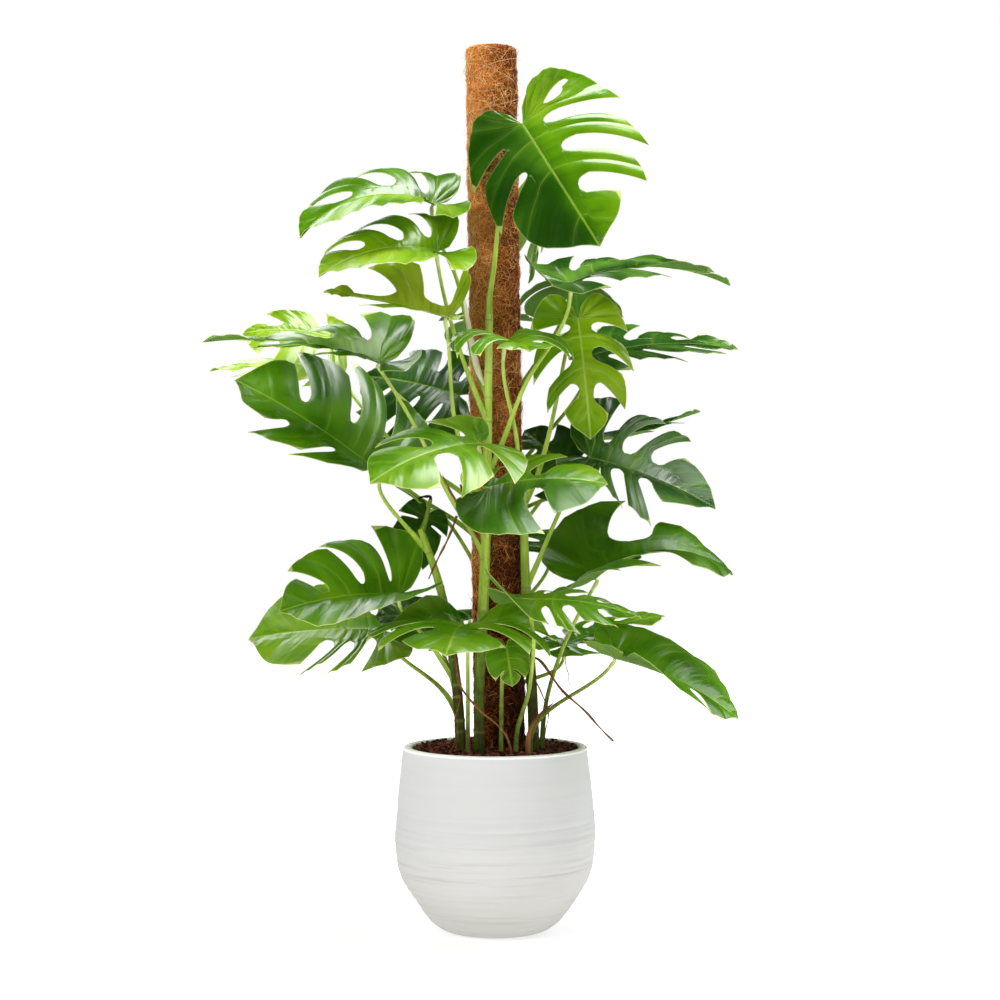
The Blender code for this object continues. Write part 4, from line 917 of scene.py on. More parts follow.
def blade_body(points, marks, triangles):
    """Closed blade round its middle surface, with ribs that stand out below."""
    normals = np.zeros_like(points)
    turn = np.cross(points[triangles[:, 1]] - points[triangles[:, 0]],
                    points[triangles[:, 2]] - points[triangles[:, 0]])
    for corner in range(3):
        np.add.at(normals, triangles[:, corner], turn)
    normals = units(normals)
    vein, rib, _, out, _ = marks.T
    thinner = np.clip(RIB_END - out, 0, 1)
    below = RIB_HEIGHT * np.exp(-(rib / RIB_REACH) ** 2) * thinner
    below += VEIN_HEIGHT * np.exp(-(vein / VEIN_REACH) ** 2) * thinner
    above = -RIB_DIP * below
    half = FINE_THICKNESS / 2
    count = len(points)
    body = np.concatenate([points + normals * (half + above)[:, None],
                           points - normals * (half + below)[:, None]])
    edges = {}
    for a, b in np.concatenate([triangles[:, [0, 1]], triangles[:, [1, 2]], triangles[:, [2, 0]]]).tolist():
        edges[(a, b)] = (b, a)
    rim = sorted(pair for pair, back in edges.items() if back not in edges)
    rim_faces = [part for a, b in rim for part in ((b, a, a + count), (b, a + count, b + count))]
    faces = triangles.tolist() + (triangles[:, ::-1] + count).tolist() + rim_faces
    slots = [0] * len(triangles) + [1] * len(triangles) + [0] * len(rim_faces)
    return body, faces, slots


def add_piece(name, points, faces, looks, nodes=(), marks=None, slots=None, sharp=None):
    """A finished piece of the object, riding on its only body."""
    mesh = bpy.data.meshes.new(name)
    mesh.from_pydata([tuple(map(float, point)) for point in points], [], faces)
    for look in looks:
        mesh.materials.append(look)
    if slots is not None:
        mesh.polygons.foreach_set("material_index", slots)
    for mark, values in (marks or {}).items():
        mesh.attributes.new(mark, "FLOAT", "POINT").data.foreach_set("value", np.asarray(values, np.float32))
    mesh.shade_smooth()
    if sharp is not None:
        mesh.set_sharp_from_angle(angle=math.radians(sharp))
    piece = bpy.data.objects.new(name, mesh)
    bpy.context.scene.collection.objects.link(piece)
    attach(piece, "root")
    if nodes:
        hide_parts(*nodes)


def add_fine_blade(leaf, looks):
    points, marks, triangles = fine_sheet(leaf)
    body, faces, slots = blade_body(points, marks, triangles)
    marks = np.concatenate([marks, marks])
    named = dict(zip(("vein", "rib", "edge", "out", "around"), marks.T))
    beside = np.clip(marks[:, 1] / TONE_BLEND, 0, 1)
    middle = np.mean(leaf.tones)
    named["tone"] = middle + (np.where(marks[:, 4] < 2, *leaf.tones) - middle) * beside
    add_piece("blade_" + leaf.name, body, faces, looks, ("leaf_" + leaf.name,), named, slots, 60)


# Fine stems and stalks

FINE_STEM_SIDES = 20
FINE_STEM_RINGS = 330
FINE_STALK_SIDES = 14
NODE_SWELL = 0.10
NODE_REACH = 0.0022
KNEE_SWELL = 0.30
KNEE_LENGTH = 0.022
# Hollow along a stalk's front, with a lip on both sides: depth in radii, places and widths in radians
GROOVE = 0.16
HOLLOW_WIDTH = 0.4
LIP_PLACE = 0.75
LIP_WIDTH = 0.3
LIP_HEIGHT = 0.9
FRONT = 1.5 * math.pi
SHEATH_SHARE = 0.42
# Shares of a stalk's length and its radii there, and how much narrower its very end is
STALK_PROFILE = [(0.0, 1.15 * STALK_FOOT), (0.08, STALK_FOOT), (0.4, STALK_MIDDLE), (1.0, STALK_TIP)]
STALK_END = 0.7
# Heights below which stalks and stems darken, over what span and how far: old wood, with painted shade under
# the leaves
STALK_DARK = (0.46, 0.16, 0.7)
STEM_DARK = (0.56, 0.22, 0.9)
# How much paler a stalk gets on its way, its knee is, and a stem gets from one height to another
STALK_PALER = 0.22
KNEE_PALER = 0.25
STEM_PALER = 0.35
STEM_PALE_FROM = 0.5
STEM_PALE_SPAN = 0.6
# Rings at a stem's foot that stand upright in its hole
UPRIGHT_RINGS = 8


def fine_tube(points, radii, sides, groove=None):
    """Closed round tube. groove gives, ring by ring, how deep its front is hollowed."""
    points = np.asarray(points, float)
    side = np.array([1.0, 0.0, 0.0])
    angles = turns(sides)
    rings = []
    for number, (point, tangent) in enumerate(zip(points, tangents_of(points))):
        side = unit(side - side.dot(tangent) * tangent)
        other = np.cross(tangent, side)
        radius = np.full(sides, radii[number])
        if groove is not None:
            away = np.abs((angles - FRONT + math.pi) % (2 * math.pi) - math.pi)
            lips = LIP_HEIGHT * np.exp(-((away - LIP_PLACE) / LIP_WIDTH) ** 2)
            radius *= 1 + groove[number] * (lips - np.exp(-(away / HOLLOW_WIDTH) ** 2))
        outward = np.cos(angles)[:, None] * side + np.sin(angles)[:, None] * other
        rings.append(point + radius[:, None] * outward)
    top = (len(points) - 1) * sides
    bottom_face = tuple(reversed(range(sides)))
    top_face = tuple(range(top, top + sides))
    return np.concatenate(rings), [bottom_face] + ring_faces(len(points), sides) + [top_face]


def bundle(tubes):
    """Several closed bodies, each points, faces and marks, as one."""
    points, faces, marks = [], [], {}
    for tube_points, tube_faces, tube_marks in tubes:
        shift = sum(len(p) for p in points)
        points.append(tube_points)
        faces += [tuple(corner + shift for corner in face) for face in tube_faces]
        for mark, values in tube_marks.items():
            marks.setdefault(mark, []).append(np.asarray(values, float))
    return np.concatenate(points), faces, {mark: np.concatenate(values) for mark, values in marks.items()}


def darkness(height, start, span, most):
    return np.clip((start - height) / span, 0, most)


def stem_marks(sides, age_and_shade, ring, light):
    """What the stems' material reads, from values for each ring of a tube."""
    return {"age_and_shade": np.repeat(age_and_shade, sides), "ring": np.repeat(ring, sides), "light": np.repeat(light, sides)}


def stalk_tube(line, light):
    """A leaf stalk: wider at its foot, hollowed in front, with a swollen knee under the blade."""
    length = np.concatenate([[0], np.cumsum(distance(line[1:], line[:-1]))])
    share = length / length[-1]
    radii = np.interp(share, *zip(*STALK_PROFILE))
    knee = np.clip(1 - (length[-1] - length) / KNEE_LENGTH, 0, 1)
    radii *= 1 + KNEE_SWELL * np.sin(math.pi * knee) ** 2
    radii[-1] *= STALK_END
    sheathed = np.clip(1 - share / SHEATH_SHARE, 0, 1) ** 0.5
    groove = GROOVE * (0.4 + 1.4 * sheathed) * (knee == 0)
    points, faces = fine_tube(line, radii, FINE_STALK_SIDES, groove)
    pale = light + STALK_PALER * share + KNEE_PALER * (knee > 0)
    return points, faces, stem_marks(FINE_STALK_SIDES, darkness(line[:, 2], *STALK_DARK), 0 * share, pale)


def stem_tube(path, radii, feet, light, wear_and_shade):
    """A climbing stem with a swollen ring at each joint."""
    shares = np.linspace(0, 1, FINE_STEM_RINGS)
    line = through(path, shares)
    line[:UPRIGHT_RINGS, :2] = np.array(path[0])[:2]
    height = line[:, 2]
    thickness = np.interp(shares, np.linspace(0, 1, len(radii)), radii)
    gap = np.min(np.abs(height[:, None] - np.array(feet)[None]), axis=1)
    ring = np.exp(-(gap / NODE_REACH) ** 2)
    points, faces = fine_tube(line, thickness * (1 + NODE_SWELL * ring), FINE_STEM_SIDES)
    dark = darkness(height - wear_and_shade, *STEM_DARK)
    pale = light + STEM_PALER * np.clip((height - STEM_PALE_FROM) / STEM_PALE_SPAN, 0, 1)
    return points, faces, stem_marks(FINE_STEM_SIDES, dark, ring, pale)


def stalk_of(leaf):
    """Route of a leaf's stalk, from its stem or from the soil to the blade."""
    if leaf.name in LOW_STALKS:
        foot = LOW_STALKS[leaf.name]
        bottom = np.array([foot[0], foot[1], STEM_FOOT])
        line = stalk_line(leaf, bottom + (0, 0, HOLE_DEPTH), np.array([0.0, 0.0, 1.0]))
        return np.concatenate([[bottom], line])
    path, _ = STEMS[leaf.stem]
    foot, way = stem_point(path, leaf.foot)
    toward = leaf.base - foot
    toward[2] = 0
    return stalk_line(leaf, foot, unit(way + leaf.spread * unit(toward)))


# How pale the stalks on each stem are, those out of the soil, and how much darker the stem itself is
STALK_LIGHT = {"front": 0.52, "right": 0.52, "left": 0.48, "back": 0.36}
LOW_STALK_LIGHT = 0.42
STEM_DARKER = 0.1
JOINT_STEP = 0.120
FIRST_JOINT = 0.04
# How much higher than usual a stem is brown and dark, with old wood and painted shade
STEM_WEAR_AND_SHADE = {"left": 0.05, "right": 0.08}


def add_stem_piece(node, tube, look):
    points, faces, marks = tube
    add_piece("fine_" + node, points, faces, [look], (node,), marks, sharp=50)


def add_stems(look):
    for name, (path, radii) in STEMS.items():
        leaves = [leaf for leaf in LEAVES if leaf.stem == name]
        joints = [leaf.foot for leaf in leaves]
        joints += list(np.arange(SOIL_LEVEL + FIRST_JOINT, path[-1][2], JOINT_STEP))
        tubes = [stem_tube(path, radii, joints, STALK_LIGHT[name] - STEM_DARKER, STEM_WEAR_AND_SHADE.get(name, 0.0))]
        tubes += [stalk_tube(stalk_of(leaf), STALK_LIGHT[name]) for leaf in leaves]
        add_stem_piece("stem_" + name, bundle(tubes), look)
    for leaf in LEAVES:
        if leaf.name in LOW_STALKS:
            add_stem_piece("stalk_of_leaf_" + leaf.name, stalk_tube(stalk_of(leaf), LOW_STALK_LIGHT), look)


# Sheath: the leaf whose stalk carries it, the shares of the stalk where it starts and ends, the way it faces,
# how far round the stalk it reaches and its look
SHEATHS = {
    "left_01": (0.06, 0.52, (0.65, -0.76, 0.0), 2.2, "cream"),
    "left_04": (0.05, 0.42, (0.85, -0.53, 0.3), 1.3, "red"),
    "right_08": (0.14, 0.55, (-0.5, -0.5, 0.7), 1.9, "brown"),
}
SHEATH_STAND = 0.0006
SHEATH_RINGS = 40
SHEATH_SIDES = 7
SHEATH_THICK = 0.0006
SHEATH_OPENING = 0.0016


def add_sheaths(looks):
    """Dry strips, curled round some stalks, where a new leaf came out."""
    by_name = {leaf.name: leaf for leaf in LEAVES}
    for name, (start, end, out, round_it, look) in SHEATHS.items():
        line = through(stalk_of(by_name[name]), np.linspace(start, end, SHEATH_RINGS))
        out = np.array(out)
        outer, inner = [], []
        for number, (point, tangent) in enumerate(zip(line, tangents_of(line))):
            share = number / (SHEATH_RINGS - 1)
            forward = unit(out - out.dot(tangent) * tangent)
            across = np.cross(tangent, forward)
            taper = math.sin(math.pi * min(0.5 + share / 2, 1.0)) ** 0.5 * min(1.0, 0.5 + 3 * share)
            for step in range(SHEATH_SIDES):
                turn = (step / (SHEATH_SIDES - 1) - 0.5) * round_it * taper
                reach = STALK_FOOT + SHEATH_STAND + SHEATH_OPENING * abs(turn)
                way = math.cos(turn) * forward + math.sin(turn) * across
                outer.append(point + (reach + SHEATH_THICK) * way)
                inner.append(point + reach * way)
        add_strip("sheath_" + name, outer, inner, looks[look])


def add_strip(name, outer, inner, look):
    """A sheath's closed thin strip, from the equal grids of points of its two sides."""
    rings, sides = SHEATH_RINGS, SHEATH_SIDES
    count = rings * sides
    faces = []
    for ring in range(rings - 1):
        for step in range(sides - 1):
            a = ring * sides + step
            faces.append((a, a + 1, a + 1 + sides, a + sides))
            faces.append((a + count + sides, a + 1 + count + sides, a + 1 + count, a + count))
    loop = list(range(sides - 1))
    loop += [(sides - 1) + ring * sides for ring in range(rings - 1)]
    loop += [count - 1 - step for step in range(sides - 1)]
    loop += [(rings - 1 - ring) * sides for ring in range(rings - 1)]
    faces += [(b, a, a + count, b + count) for a, b in zip(loop, loop[1:] + loop[:1])]
    add_piece(name, outer + inner, faces, [look], sharp=60)


# The cut stalk at the top of the left stem and its black, curled end
CUT_STALK = [(-0.1225, -0.045, 0.672), (-0.1150, -0.050, 0.700), (-0.1085, -0.052, 0.730)]
DRY_END = [(-0.1086, -0.052, 0.727), (-0.1095, -0.053, 0.735), (-0.1160, -0.055, 0.736),
           (-0.1280, -0.056, 0.730), (-0.1390, -0.056, 0.729)]
CUT_RADIUS = 0.0042
CUT_RINGS = 24
CUT_AGE = 0.25
CUT_LIGHT = 0.35


def add_cut_stalk(green, dry):
    line = through(CUT_STALK, np.linspace(0, 1, CUT_RINGS))
    points, faces = fine_tube(line, np.linspace(CUT_RADIUS, 0.8 * CUT_RADIUS, CUT_RINGS), FINE_STALK_SIDES)
    every = np.ones(CUT_RINGS)
    marks = stem_marks(FINE_STALK_SIDES, CUT_AGE * every, 0 * every, CUT_LIGHT * every)
    add_piece("cut_stalk", points, faces, [green], marks=marks, sharp=50)
    tube, faces, _ = root_tube(DRY_END, 0.6 * CUT_RADIUS, DRY_END_SEED)
    add_piece("cut_stalk_end", tube, faces, [dry])


# Roots

FINE_ROOT_RINGS = 60
FINE_ROOT_SIDES = 8
FINE_ROOT_RADIUS = 0.0024
ROOT_WAVES = (9, 7, 11)
ROOT_WOBBLE = 0.0012
# A root's lumps, in number and in shares of its radius, and how much thinner its tip is
ROOT_LUMPS = 23
ROOT_LUMP = 0.18
ROOT_TAPER = 0.35
ROOT_END = 0.4
THIN_ROOT_SEED = 20
DRY_END_SEED = 41

# Thin roots that the solids leave out: radius and the points they pass
THIN_ROOTS = [
    (0.0021, [(-0.064, -0.085, 0.702), (-0.076, -0.100, 0.668), (-0.096, -0.104, 0.630),
              (-0.110, -0.100, 0.598)]),
    (0.0022, [(-0.058, -0.062, 0.755), (-0.045, -0.066, 0.715), (-0.030, -0.062, 0.675),
              (-0.018, -0.050, 0.640)]),
    (0.0008, [(0.118, -0.045, 0.470), (0.121, -0.050, 0.440), (0.126, -0.048, 0.415)]),
    (0.0012, [(0.066, -0.052, 0.430), (0.078, -0.062, 0.405), (0.088, -0.060, 0.372), (0.084, -0.052, 0.330),
              (0.086, -0.050, 0.296)]),
    (0.0014, [(-0.058, -0.066, 0.400), (-0.066, -0.074, 0.360), (-0.070, -0.076, 0.320),
              (-0.086, -0.078, 0.296)]),
]


def root_tube(points, radius, seed):
    """A root through some points, with a small wobble and lumps."""
    along = np.linspace(0, 1, FINE_ROOT_RINGS)
    starts = np.random.default_rng(seed).uniform(0, 2 * math.pi, 3)
    wobble = np.stack([np.sin(waves * along + start) for waves, start in zip(ROOT_WAVES, starts)], axis=1)
    line = through(points, along) + ROOT_WOBBLE * np.sin(math.pi * along)[:, None] * wobble
    radii = radius * (1 + ROOT_LUMP * np.sin(ROOT_LUMPS * along + starts[0]) - ROOT_TAPER * along)
    radii[-1] *= ROOT_END
    return *fine_tube(line, radii, FINE_ROOT_SIDES), {}


def add_roots(look):
    for seed, (name, (stem, height, way, points)) in enumerate(ROOTS.items()):
        path, radii = STEMS[stem]
        way = unit(np.array(way))
        start = stem_point(path, height)[0] + way * radii[1] * 0.6
        stops = [start, start + way * 5 * ROOT_RADIUS] + [np.array(point) for point in points]
        tube, faces, _ = root_tube(stops, FINE_ROOT_RADIUS, seed)
        add_piece("fine_" + name, tube, faces, [look], (name,))
    roots = [root_tube(stops, radius, THIN_ROOT_SEED + n) for n, (radius, stops) in enumerate(THIN_ROOTS)]
    points, faces, _ = bundle(roots)
    add_piece("thin_roots", points, faces, [look])


# Pole

POLE_SEGMENTS = 140
POLE_FINE_RINGS = 320
POLE_WAVES = 18
POLE_SEED = 11
FELT_RADIUS = 0.0423
FELT_RELIEF = 0.0025
# The sleeve's top edge, rounded over, and how far the fine felt reaches below the soil
EDGE_WIDTH = 0.003
EDGE_DROP = 0.002
FELT_BELOW_SOIL = 0.02
PALEST = 1.2
FIBRES = 12500
FIBRE_RADIUS = (0.00020, 0.00046)
FIBRE_LENGTH = (0.012, 0.036)
FIBRE_BEND = (-0.5, 0.5)
# How far a fibre's start, middle and end stand from the felt, and how much more those of a loose one
FIBRE_START = -0.0006
FIBRE_MIDDLE = (0.0005, 0.0020)
FIBRE_END = (-0.0008, 0.0012)
LOOSE_MIDDLE = (0.0, 0.0025)
LOOSE_END = (0.001, 0.009)
LOOSE_SHARE = 0.09
FIBRE_TAPER = np.array([0.75, 1.0, 0.45])
FIBRES_BELOW_SOIL = 0.004
FIBRES_BELOW_TOP = 0.004
FIBRE_SEED = 5
# Two pale threads, wound both ways round the pole's top: way and start
THREADS = [(1, 0.3), (-1, 2.1)]
THREAD_RADIUS = 0.00034
THREAD_SIDES = 6
THREAD_TURNS = 4
THREAD_RINGS = 260
THREAD_REACH = 0.24
THREAD_STAND = 0.0018


def pole_relief(angle, height):
    """Unevenness of the felt, from a few waves round and along the pole, between -1 and 1."""
    rng = np.random.default_rng(POLE_SEED)
    total = 0
    for number in range(POLE_WAVES):
        finer = 1 + 3 * number // POLE_WAVES
        around = int(rng.integers(-7, 8)) * finer
        along = rng.uniform(60, 150) * finer
        total = total + np.sin(around * angle + along * height + rng.uniform(0, 2 * math.pi))
    return total / 7


def pole_tone_painted_light(angle, height):
    """How pale the coir is, as painted light: paler on the left where the light falls, and painted shade,
    darker low down under the leaves.
    """
    return 0.72 - 0.40 * np.cos(angle) - 0.75 * np.clip((0.85 - height) / 0.40, 0, 1)


def pole_surface(angle, height, stand):
    """Points on the pole at an angle and a height, standing so far from the felt's mean surface."""
    radius = FELT_RADIUS + FELT_RELIEF * pole_relief(angle, height) + stand
    return pole_point(height[:, None]) + radius[:, None] * circle(angle)


def add_pole(felt, fibre, thread):
    low, high = POLE_FOOT[2] - POLE_BURIED, POLE_TOP[2]
    fine = np.linspace(SOIL_LEVEL - FELT_BELOW_SOIL, high - EDGE_DROP, POLE_FINE_RINGS)
    angles = turns(POLE_SEGMENTS)
    every = np.ones(POLE_SEGMENTS)
    rings = [pole_surface(angles, height * every, 0 * every) for height in np.concatenate([[low], fine])]
    # Over the top edge and down the bore
    bore = CORE_RADIUS + GAP
    for height, radius in ((high, FELT_RADIUS - EDGE_WIDTH), (high, bore + EDGE_WIDTH),
                           (high - EDGE_DROP, bore), (low, bore)):
        rings.append(pole_point(height) + radius * circle(angles))
    points = np.concatenate(rings)
    faces = ring_faces(len(rings), POLE_SEGMENTS, closed=True)
    # The felt's tone carries painted light on the left and painted shade low down
    tone = np.clip(pole_tone_painted_light(np.tile(angles, len(rings)), points[:, 2]), 0, PALEST)
    add_piece("pole_felt", points, faces, [felt], ("coir_pole",), {"tone": tone}, sharp=50)
    points, faces, tone = fibre_cloud(FIBRES, SOIL_LEVEL - FIBRES_BELOW_SOIL, high)
    add_piece("pole_fibres", points, faces, [fibre], marks={"tone": tone})
    points, faces, _ = bundle([thread_tube(*settings) for settings in THREADS])
    add_piece("pole_thread", points, faces, [thread])


def thread_tube(direction, start):
    share = np.linspace(0, 1, THREAD_RINGS)
    angle = direction * 2 * math.pi * THREAD_TURNS * share + start + 0.3 * np.sin(17 * share + start)
    height = POLE_TOP[2] - FIBRES_BELOW_TOP - THREAD_REACH * share - 0.006 * np.sin(29 * share + start)
    line = pole_surface(angle, height, THREAD_STAND + 0 * share)
    return *fine_tube(line, np.full(THREAD_RINGS, THREAD_RADIUS), THREAD_SIDES), {}


def fibre_cloud(count, low, high):
    """Short bent fibres on the felt, each a closed three-sided tube in three rings."""
    rng = np.random.default_rng(FIBRE_SEED)
    angle = rng.uniform(0, 2 * math.pi, count)
    height = rng.uniform(low, high - FIBRES_BELOW_TOP, count)
    length = rng.uniform(*FIBRE_LENGTH, count)
    lay = rng.uniform(0, 2 * math.pi, count)
    loose = rng.uniform(0, 1, count) < LOOSE_SHARE
    bend = rng.uniform(*FIBRE_BEND, count) * length
    middle = rng.uniform(*FIBRE_MIDDLE, count) + loose * rng.uniform(*LOOSE_MIDDLE, count)
    end = rng.uniform(*FIBRE_END, count) + loose * rng.uniform(*LOOSE_END, count)
    rings = []
    for share, stand in ((-0.5, FIBRE_START + 0 * length), (0.0, middle), (0.5, end)):
        ahead = share * length
        aside = bend * (0.5 - abs(share))
        over = (ahead * np.cos(lay) - aside * np.sin(lay)) / FELT_RADIUS
        rise = ahead * np.sin(lay) + aside * np.cos(lay)
        rings.append(pole_surface(angle + over, np.clip(height + rise, low, high), stand))
    rings = np.stack(rings, axis=1)
    radius = rng.uniform(*FIBRE_RADIUS, count)[:, None] * FIBRE_TAPER
    way = units(rings[:, 2] - rings[:, 0])
    side = units(np.cross(way, rings[:, 1] * (1, 1, 0)))
    other = np.cross(way, side)
    corners = turns(3)[None, :, None]
    around = np.cos(corners) * side[:, None] + np.sin(corners) * other[:, None]
    points = rings[:, :, None] + radius[:, :, None, None] * around[:, None]
    one = [(2, 1, 0), (6, 7, 8)]
    for a, b, c, d in ring_faces(3, 3):
        one += [(a, b, c), (a, c, d)]
    faces = (np.array(one)[None] + 9 * np.arange(count)[:, None, None]).reshape(-1, 3)
    # Paler in patches and clumps, and with the pole's painted light on the left and painted shade low down
    clump = sum(np.sin(a * angle + b * height) for a, b in ((9, 260), (-13, 330), (4, -410)))
    patch_with_painted_light = pole_tone_painted_light(angle, height) + 0.5 * pole_relief(angle, height) + 0.12 * clump
    tone = np.clip(0.75 * rng.uniform(0, 1, count) + 0.70 * patch_with_painted_light - 0.22, 0, 1)
    return points.reshape(-1, 3), faces.tolist(), np.repeat(tone, 9)


# Pot and soil

POT_FINE_SEGMENTS = 200
POT_FINE_RINGS = 150
GROOVES = 17
GROOVE_DEPTH = (0.0005, 0.0016)
GROOVE_REACH = (0.0014, 0.0040)
GROOVES_FROM = 0.012
GROOVES_SPAN = 0.20
GROOVE_SHIFT = (-0.003, 0.003)
GROOVE_SEED = 3
FOOT_ROUND = 0.022
FOOT_INWARD = 0.004
LOWEST_RING = 0.0004
# The rim's section, squarer than a half circle, at these degrees from its outer side
RIM_SQUARE = 0.5
RIM_DEGREES = [8, 20, 35, 60, 90, 120, 145, 160, 172]
SOIL_LIFT = 0.006
SOIL_WAVES = 16
SOIL_WAVE_HEIGHT = 0.006
SOIL_WAVE_SEED = 17
SOIL_SEGMENTS = 120
SOIL_RINGS = 34
SOIL_TONE = 0.45
CHIPS = 1500
CHIP_SIZE = (0.0022, 0.0062)
CHIP_WIDTH = (0.35, 0.8)
CHIP_HEIGHT = (0.25, 0.55)
CHIP_TONE = (0.1, 1.0)
CHIP_ROUGH = 0.28
CHIP_LIFT = 0.0008
CHIPS_REACH = 0.975
# Share of chips that lie askew, in any way
ASKEW_SHARE = 0.35
CHIP_SEED = 23


def revolve(rows, segments):
    """Closed body from rows of radii, one row for each height, with a point on the axis at both ends."""
    angles = turns(segments)
    every = np.ones(segments)
    points = [np.array([[0.0, 0.0, rows[0][1]]])]
    for radius, height in rows[1:-1]:
        points.append(np.stack([radius * np.cos(angles), radius * np.sin(angles), height * every], axis=1))
    points.append(np.array([[0.0, 0.0, rows[-1][1]]]))
    points = np.concatenate(points)
    rings = len(rows) - 2
    faces = ring_faces(rings, segments, first=1)
    last = 1 + (rings - 1) * segments
    for number in range(segments):
        after = (number + 1) % segments
        faces.append((0, 1 + after, 1 + number))
        faces.append((last + number, last + after, len(points) - 1))
    return points, faces


def add_fine_pot(look):
    angles = turns(POT_FINE_SEGMENTS)
    rng = np.random.default_rng(GROOVE_SEED)
    grooves = []
    for number in range(GROOVES):
        place = GROOVES_FROM + GROOVES_SPAN * (number / GROOVES) ** 0.9 + rng.uniform(*GROOVE_SHIFT)
        grooves.append((place, rng.uniform(*GROOVE_DEPTH), rng.uniform(*GROOVE_REACH),
                        rng.uniform(0, 2 * math.pi)))
    outside = through(POT_OUTSIDE, np.linspace(0, 1, POT_FINE_RINGS))
    rows = [(0.0, 0.0), (outside[0][0] - FOOT_ROUND - FOOT_INWARD, 0.0)]
    for radius, height in outside:
        cut = 0
        for place, depth, reach, start in grooves:
            place = place + 0.0015 * np.sin(angles + 2 * start)
            depth = depth * (0.6 + 0.4 * np.sin(2 * angles + start))
            cut = cut + depth * np.exp(-((height - place) / reach) ** 2)
        sway = 0.0004 * np.sin(3 * angles + 40 * height) + 0.0003 * np.sin(5 * angles - 90 * height)
        under = max(0.0, 1 - height / FOOT_ROUND)
        rounding = FOOT_ROUND * (1 - math.sqrt(1 - under ** 2))
        rows.append((radius - cut + sway * min(1, height / 0.02) - rounding, max(height, LOWEST_RING)))
    rim_r, rim_z = outside[-1]
    half = POT_WALL / 2
    for turn in np.radians(RIM_DEGREES):
        across = math.copysign(abs(math.cos(turn)) ** RIM_SQUARE, math.cos(turn))
        rows.append((rim_r - half + half * across, rim_z + half * math.sin(turn) ** RIM_SQUARE))
    rows += pot_inside() + [(0.0, POT_FLOOR)]
    points, faces = revolve(rows, POT_FINE_SEGMENTS)
    add_piece("plaster_pot", points, faces, [look], ("pot",), sharp=50)


def soil_height(x, y):
    """How far the soil's surface lies above its mean one, from a few waves."""
    rng = np.random.default_rng(SOIL_WAVE_SEED)
    total = 0
    for _ in range(SOIL_WAVES):
        way = rng.uniform(0, 2 * math.pi)
        count = rng.uniform(60, 420)
        wave = np.sin(count * (x * math.cos(way) + y * math.sin(way)) + rng.uniform(0, 6))
        total = total + wave / SOIL_WAVES
    return SOIL_WAVE_HEIGHT * total


def add_soil_ground(look):
    inside = pot_inside()
    wall = [(r - GAP, z) for r, z in reversed(inside) if z < SOIL_LEVEL - 0.01]
    rows = [(0.0, POT_FLOOR + GAP), (wall[0][0], POT_FLOOR + GAP)] + wall[1:]
    angles = turns(SOIL_SEGMENTS)
    for share in np.linspace(1.0, 0.02, SOIL_RINGS):
        radius = soil_radius() * share
        crown = SOIL_CROWN * (1 - share) - SOIL_EDGE_DROP * share ** 6
        uneven = soil_height(radius * np.cos(angles), radius * np.sin(angles))
        rows.append((radius, SOIL_LEVEL + SOIL_LIFT + crown + uneven))
    rows.append((0.0, SOIL_LEVEL + SOIL_LIFT + SOIL_CROWN))
    points, faces = revolve(rows, SOIL_SEGMENTS)
    marks = {"tone": np.full(len(points), SOIL_TONE)}
    add_piece("soil_ground", points, faces, [look], ("soil",), marks)


def soil_radius():
    return pot_inside()[0][0] - 2 * GAP


def add_soil_chips(look):
    """Bark chips: flattened balls of twelve points, each bent out of shape, most lying flat."""
    rng = np.random.default_rng(CHIP_SEED)
    golden = (1 + math.sqrt(5)) / 2
    ball = np.array([(a, b, 0) for a in (-1, 1) for b in (-golden, golden)])
    ball = np.concatenate([ball, ball[:, [2, 0, 1]], ball[:, [1, 2, 0]]]) / math.sqrt(1 + golden ** 2)
    ball_faces = hull_faces(ball)
    points, faces, tones = [], [], []
    for number in range(CHIPS):
        share = math.sqrt(rng.uniform(0.0, 1.0)) * CHIPS_REACH
        reach = soil_radius() * share
        turn = rng.uniform(0, 2 * math.pi)
        x, y = reach * math.cos(turn), reach * math.sin(turn)
        size = rng.uniform(*CHIP_SIZE) * np.array([1.0, rng.uniform(*CHIP_WIDTH), rng.uniform(*CHIP_HEIGHT)])
        askew = rng.uniform() < ASKEW_SHARE
        spin = np.linalg.qr(rng.normal(size=(3, 3)))[0] if askew else turned(rng.uniform(0, 6.28))
        rough = 1 + CHIP_ROUGH * rng.uniform(-1, 1, (12, 1))
        lift = soil_height(x, y) + SOIL_LEVEL + SOIL_LIFT + SOIL_CROWN * (1 - share) + CHIP_LIFT
        points.append((ball * rough * size) @ spin.T + [x, y, lift])
        faces += [tuple(corner + 12 * number for corner in face) for face in ball_faces]
        tones.append(np.full(12, rng.uniform(*CHIP_TONE)))
    marks = {"tone": np.concatenate(tones)}
    add_piece("soil_chips", np.concatenate(points), faces, [look], marks=marks, sharp=25)


def turned(angle):
    """Turn about the upright axis, as a matrix."""
    c, s = math.cos(angle), math.sin(angle)
    return np.array([[c, -s, 0], [s, c, 0], [0, 0, 1]])


def hull_faces(ball):
    """The twenty faces of the ball's twelve points, turned outwards."""
    side = min(distance(ball[0], other) for other in ball[1:])
    near = [[distance(a, b) < 1.1 * side and a is not b for b in ball] for a in ball]
    faces = []
    for a in range(12):
        for b in range(a + 1, 12):
            for c in range(b + 1, 12):
                if near[a][b] and near[b][c] and near[a][c]:
                    out = np.cross(ball[b] - ball[a], ball[c] - ball[a]).dot(ball[a])
                    faces.append((a, b, c) if out > 0 else (a, c, b))
    return faces


# Stage, light and camera

FLOOR_SIZE = 14.0
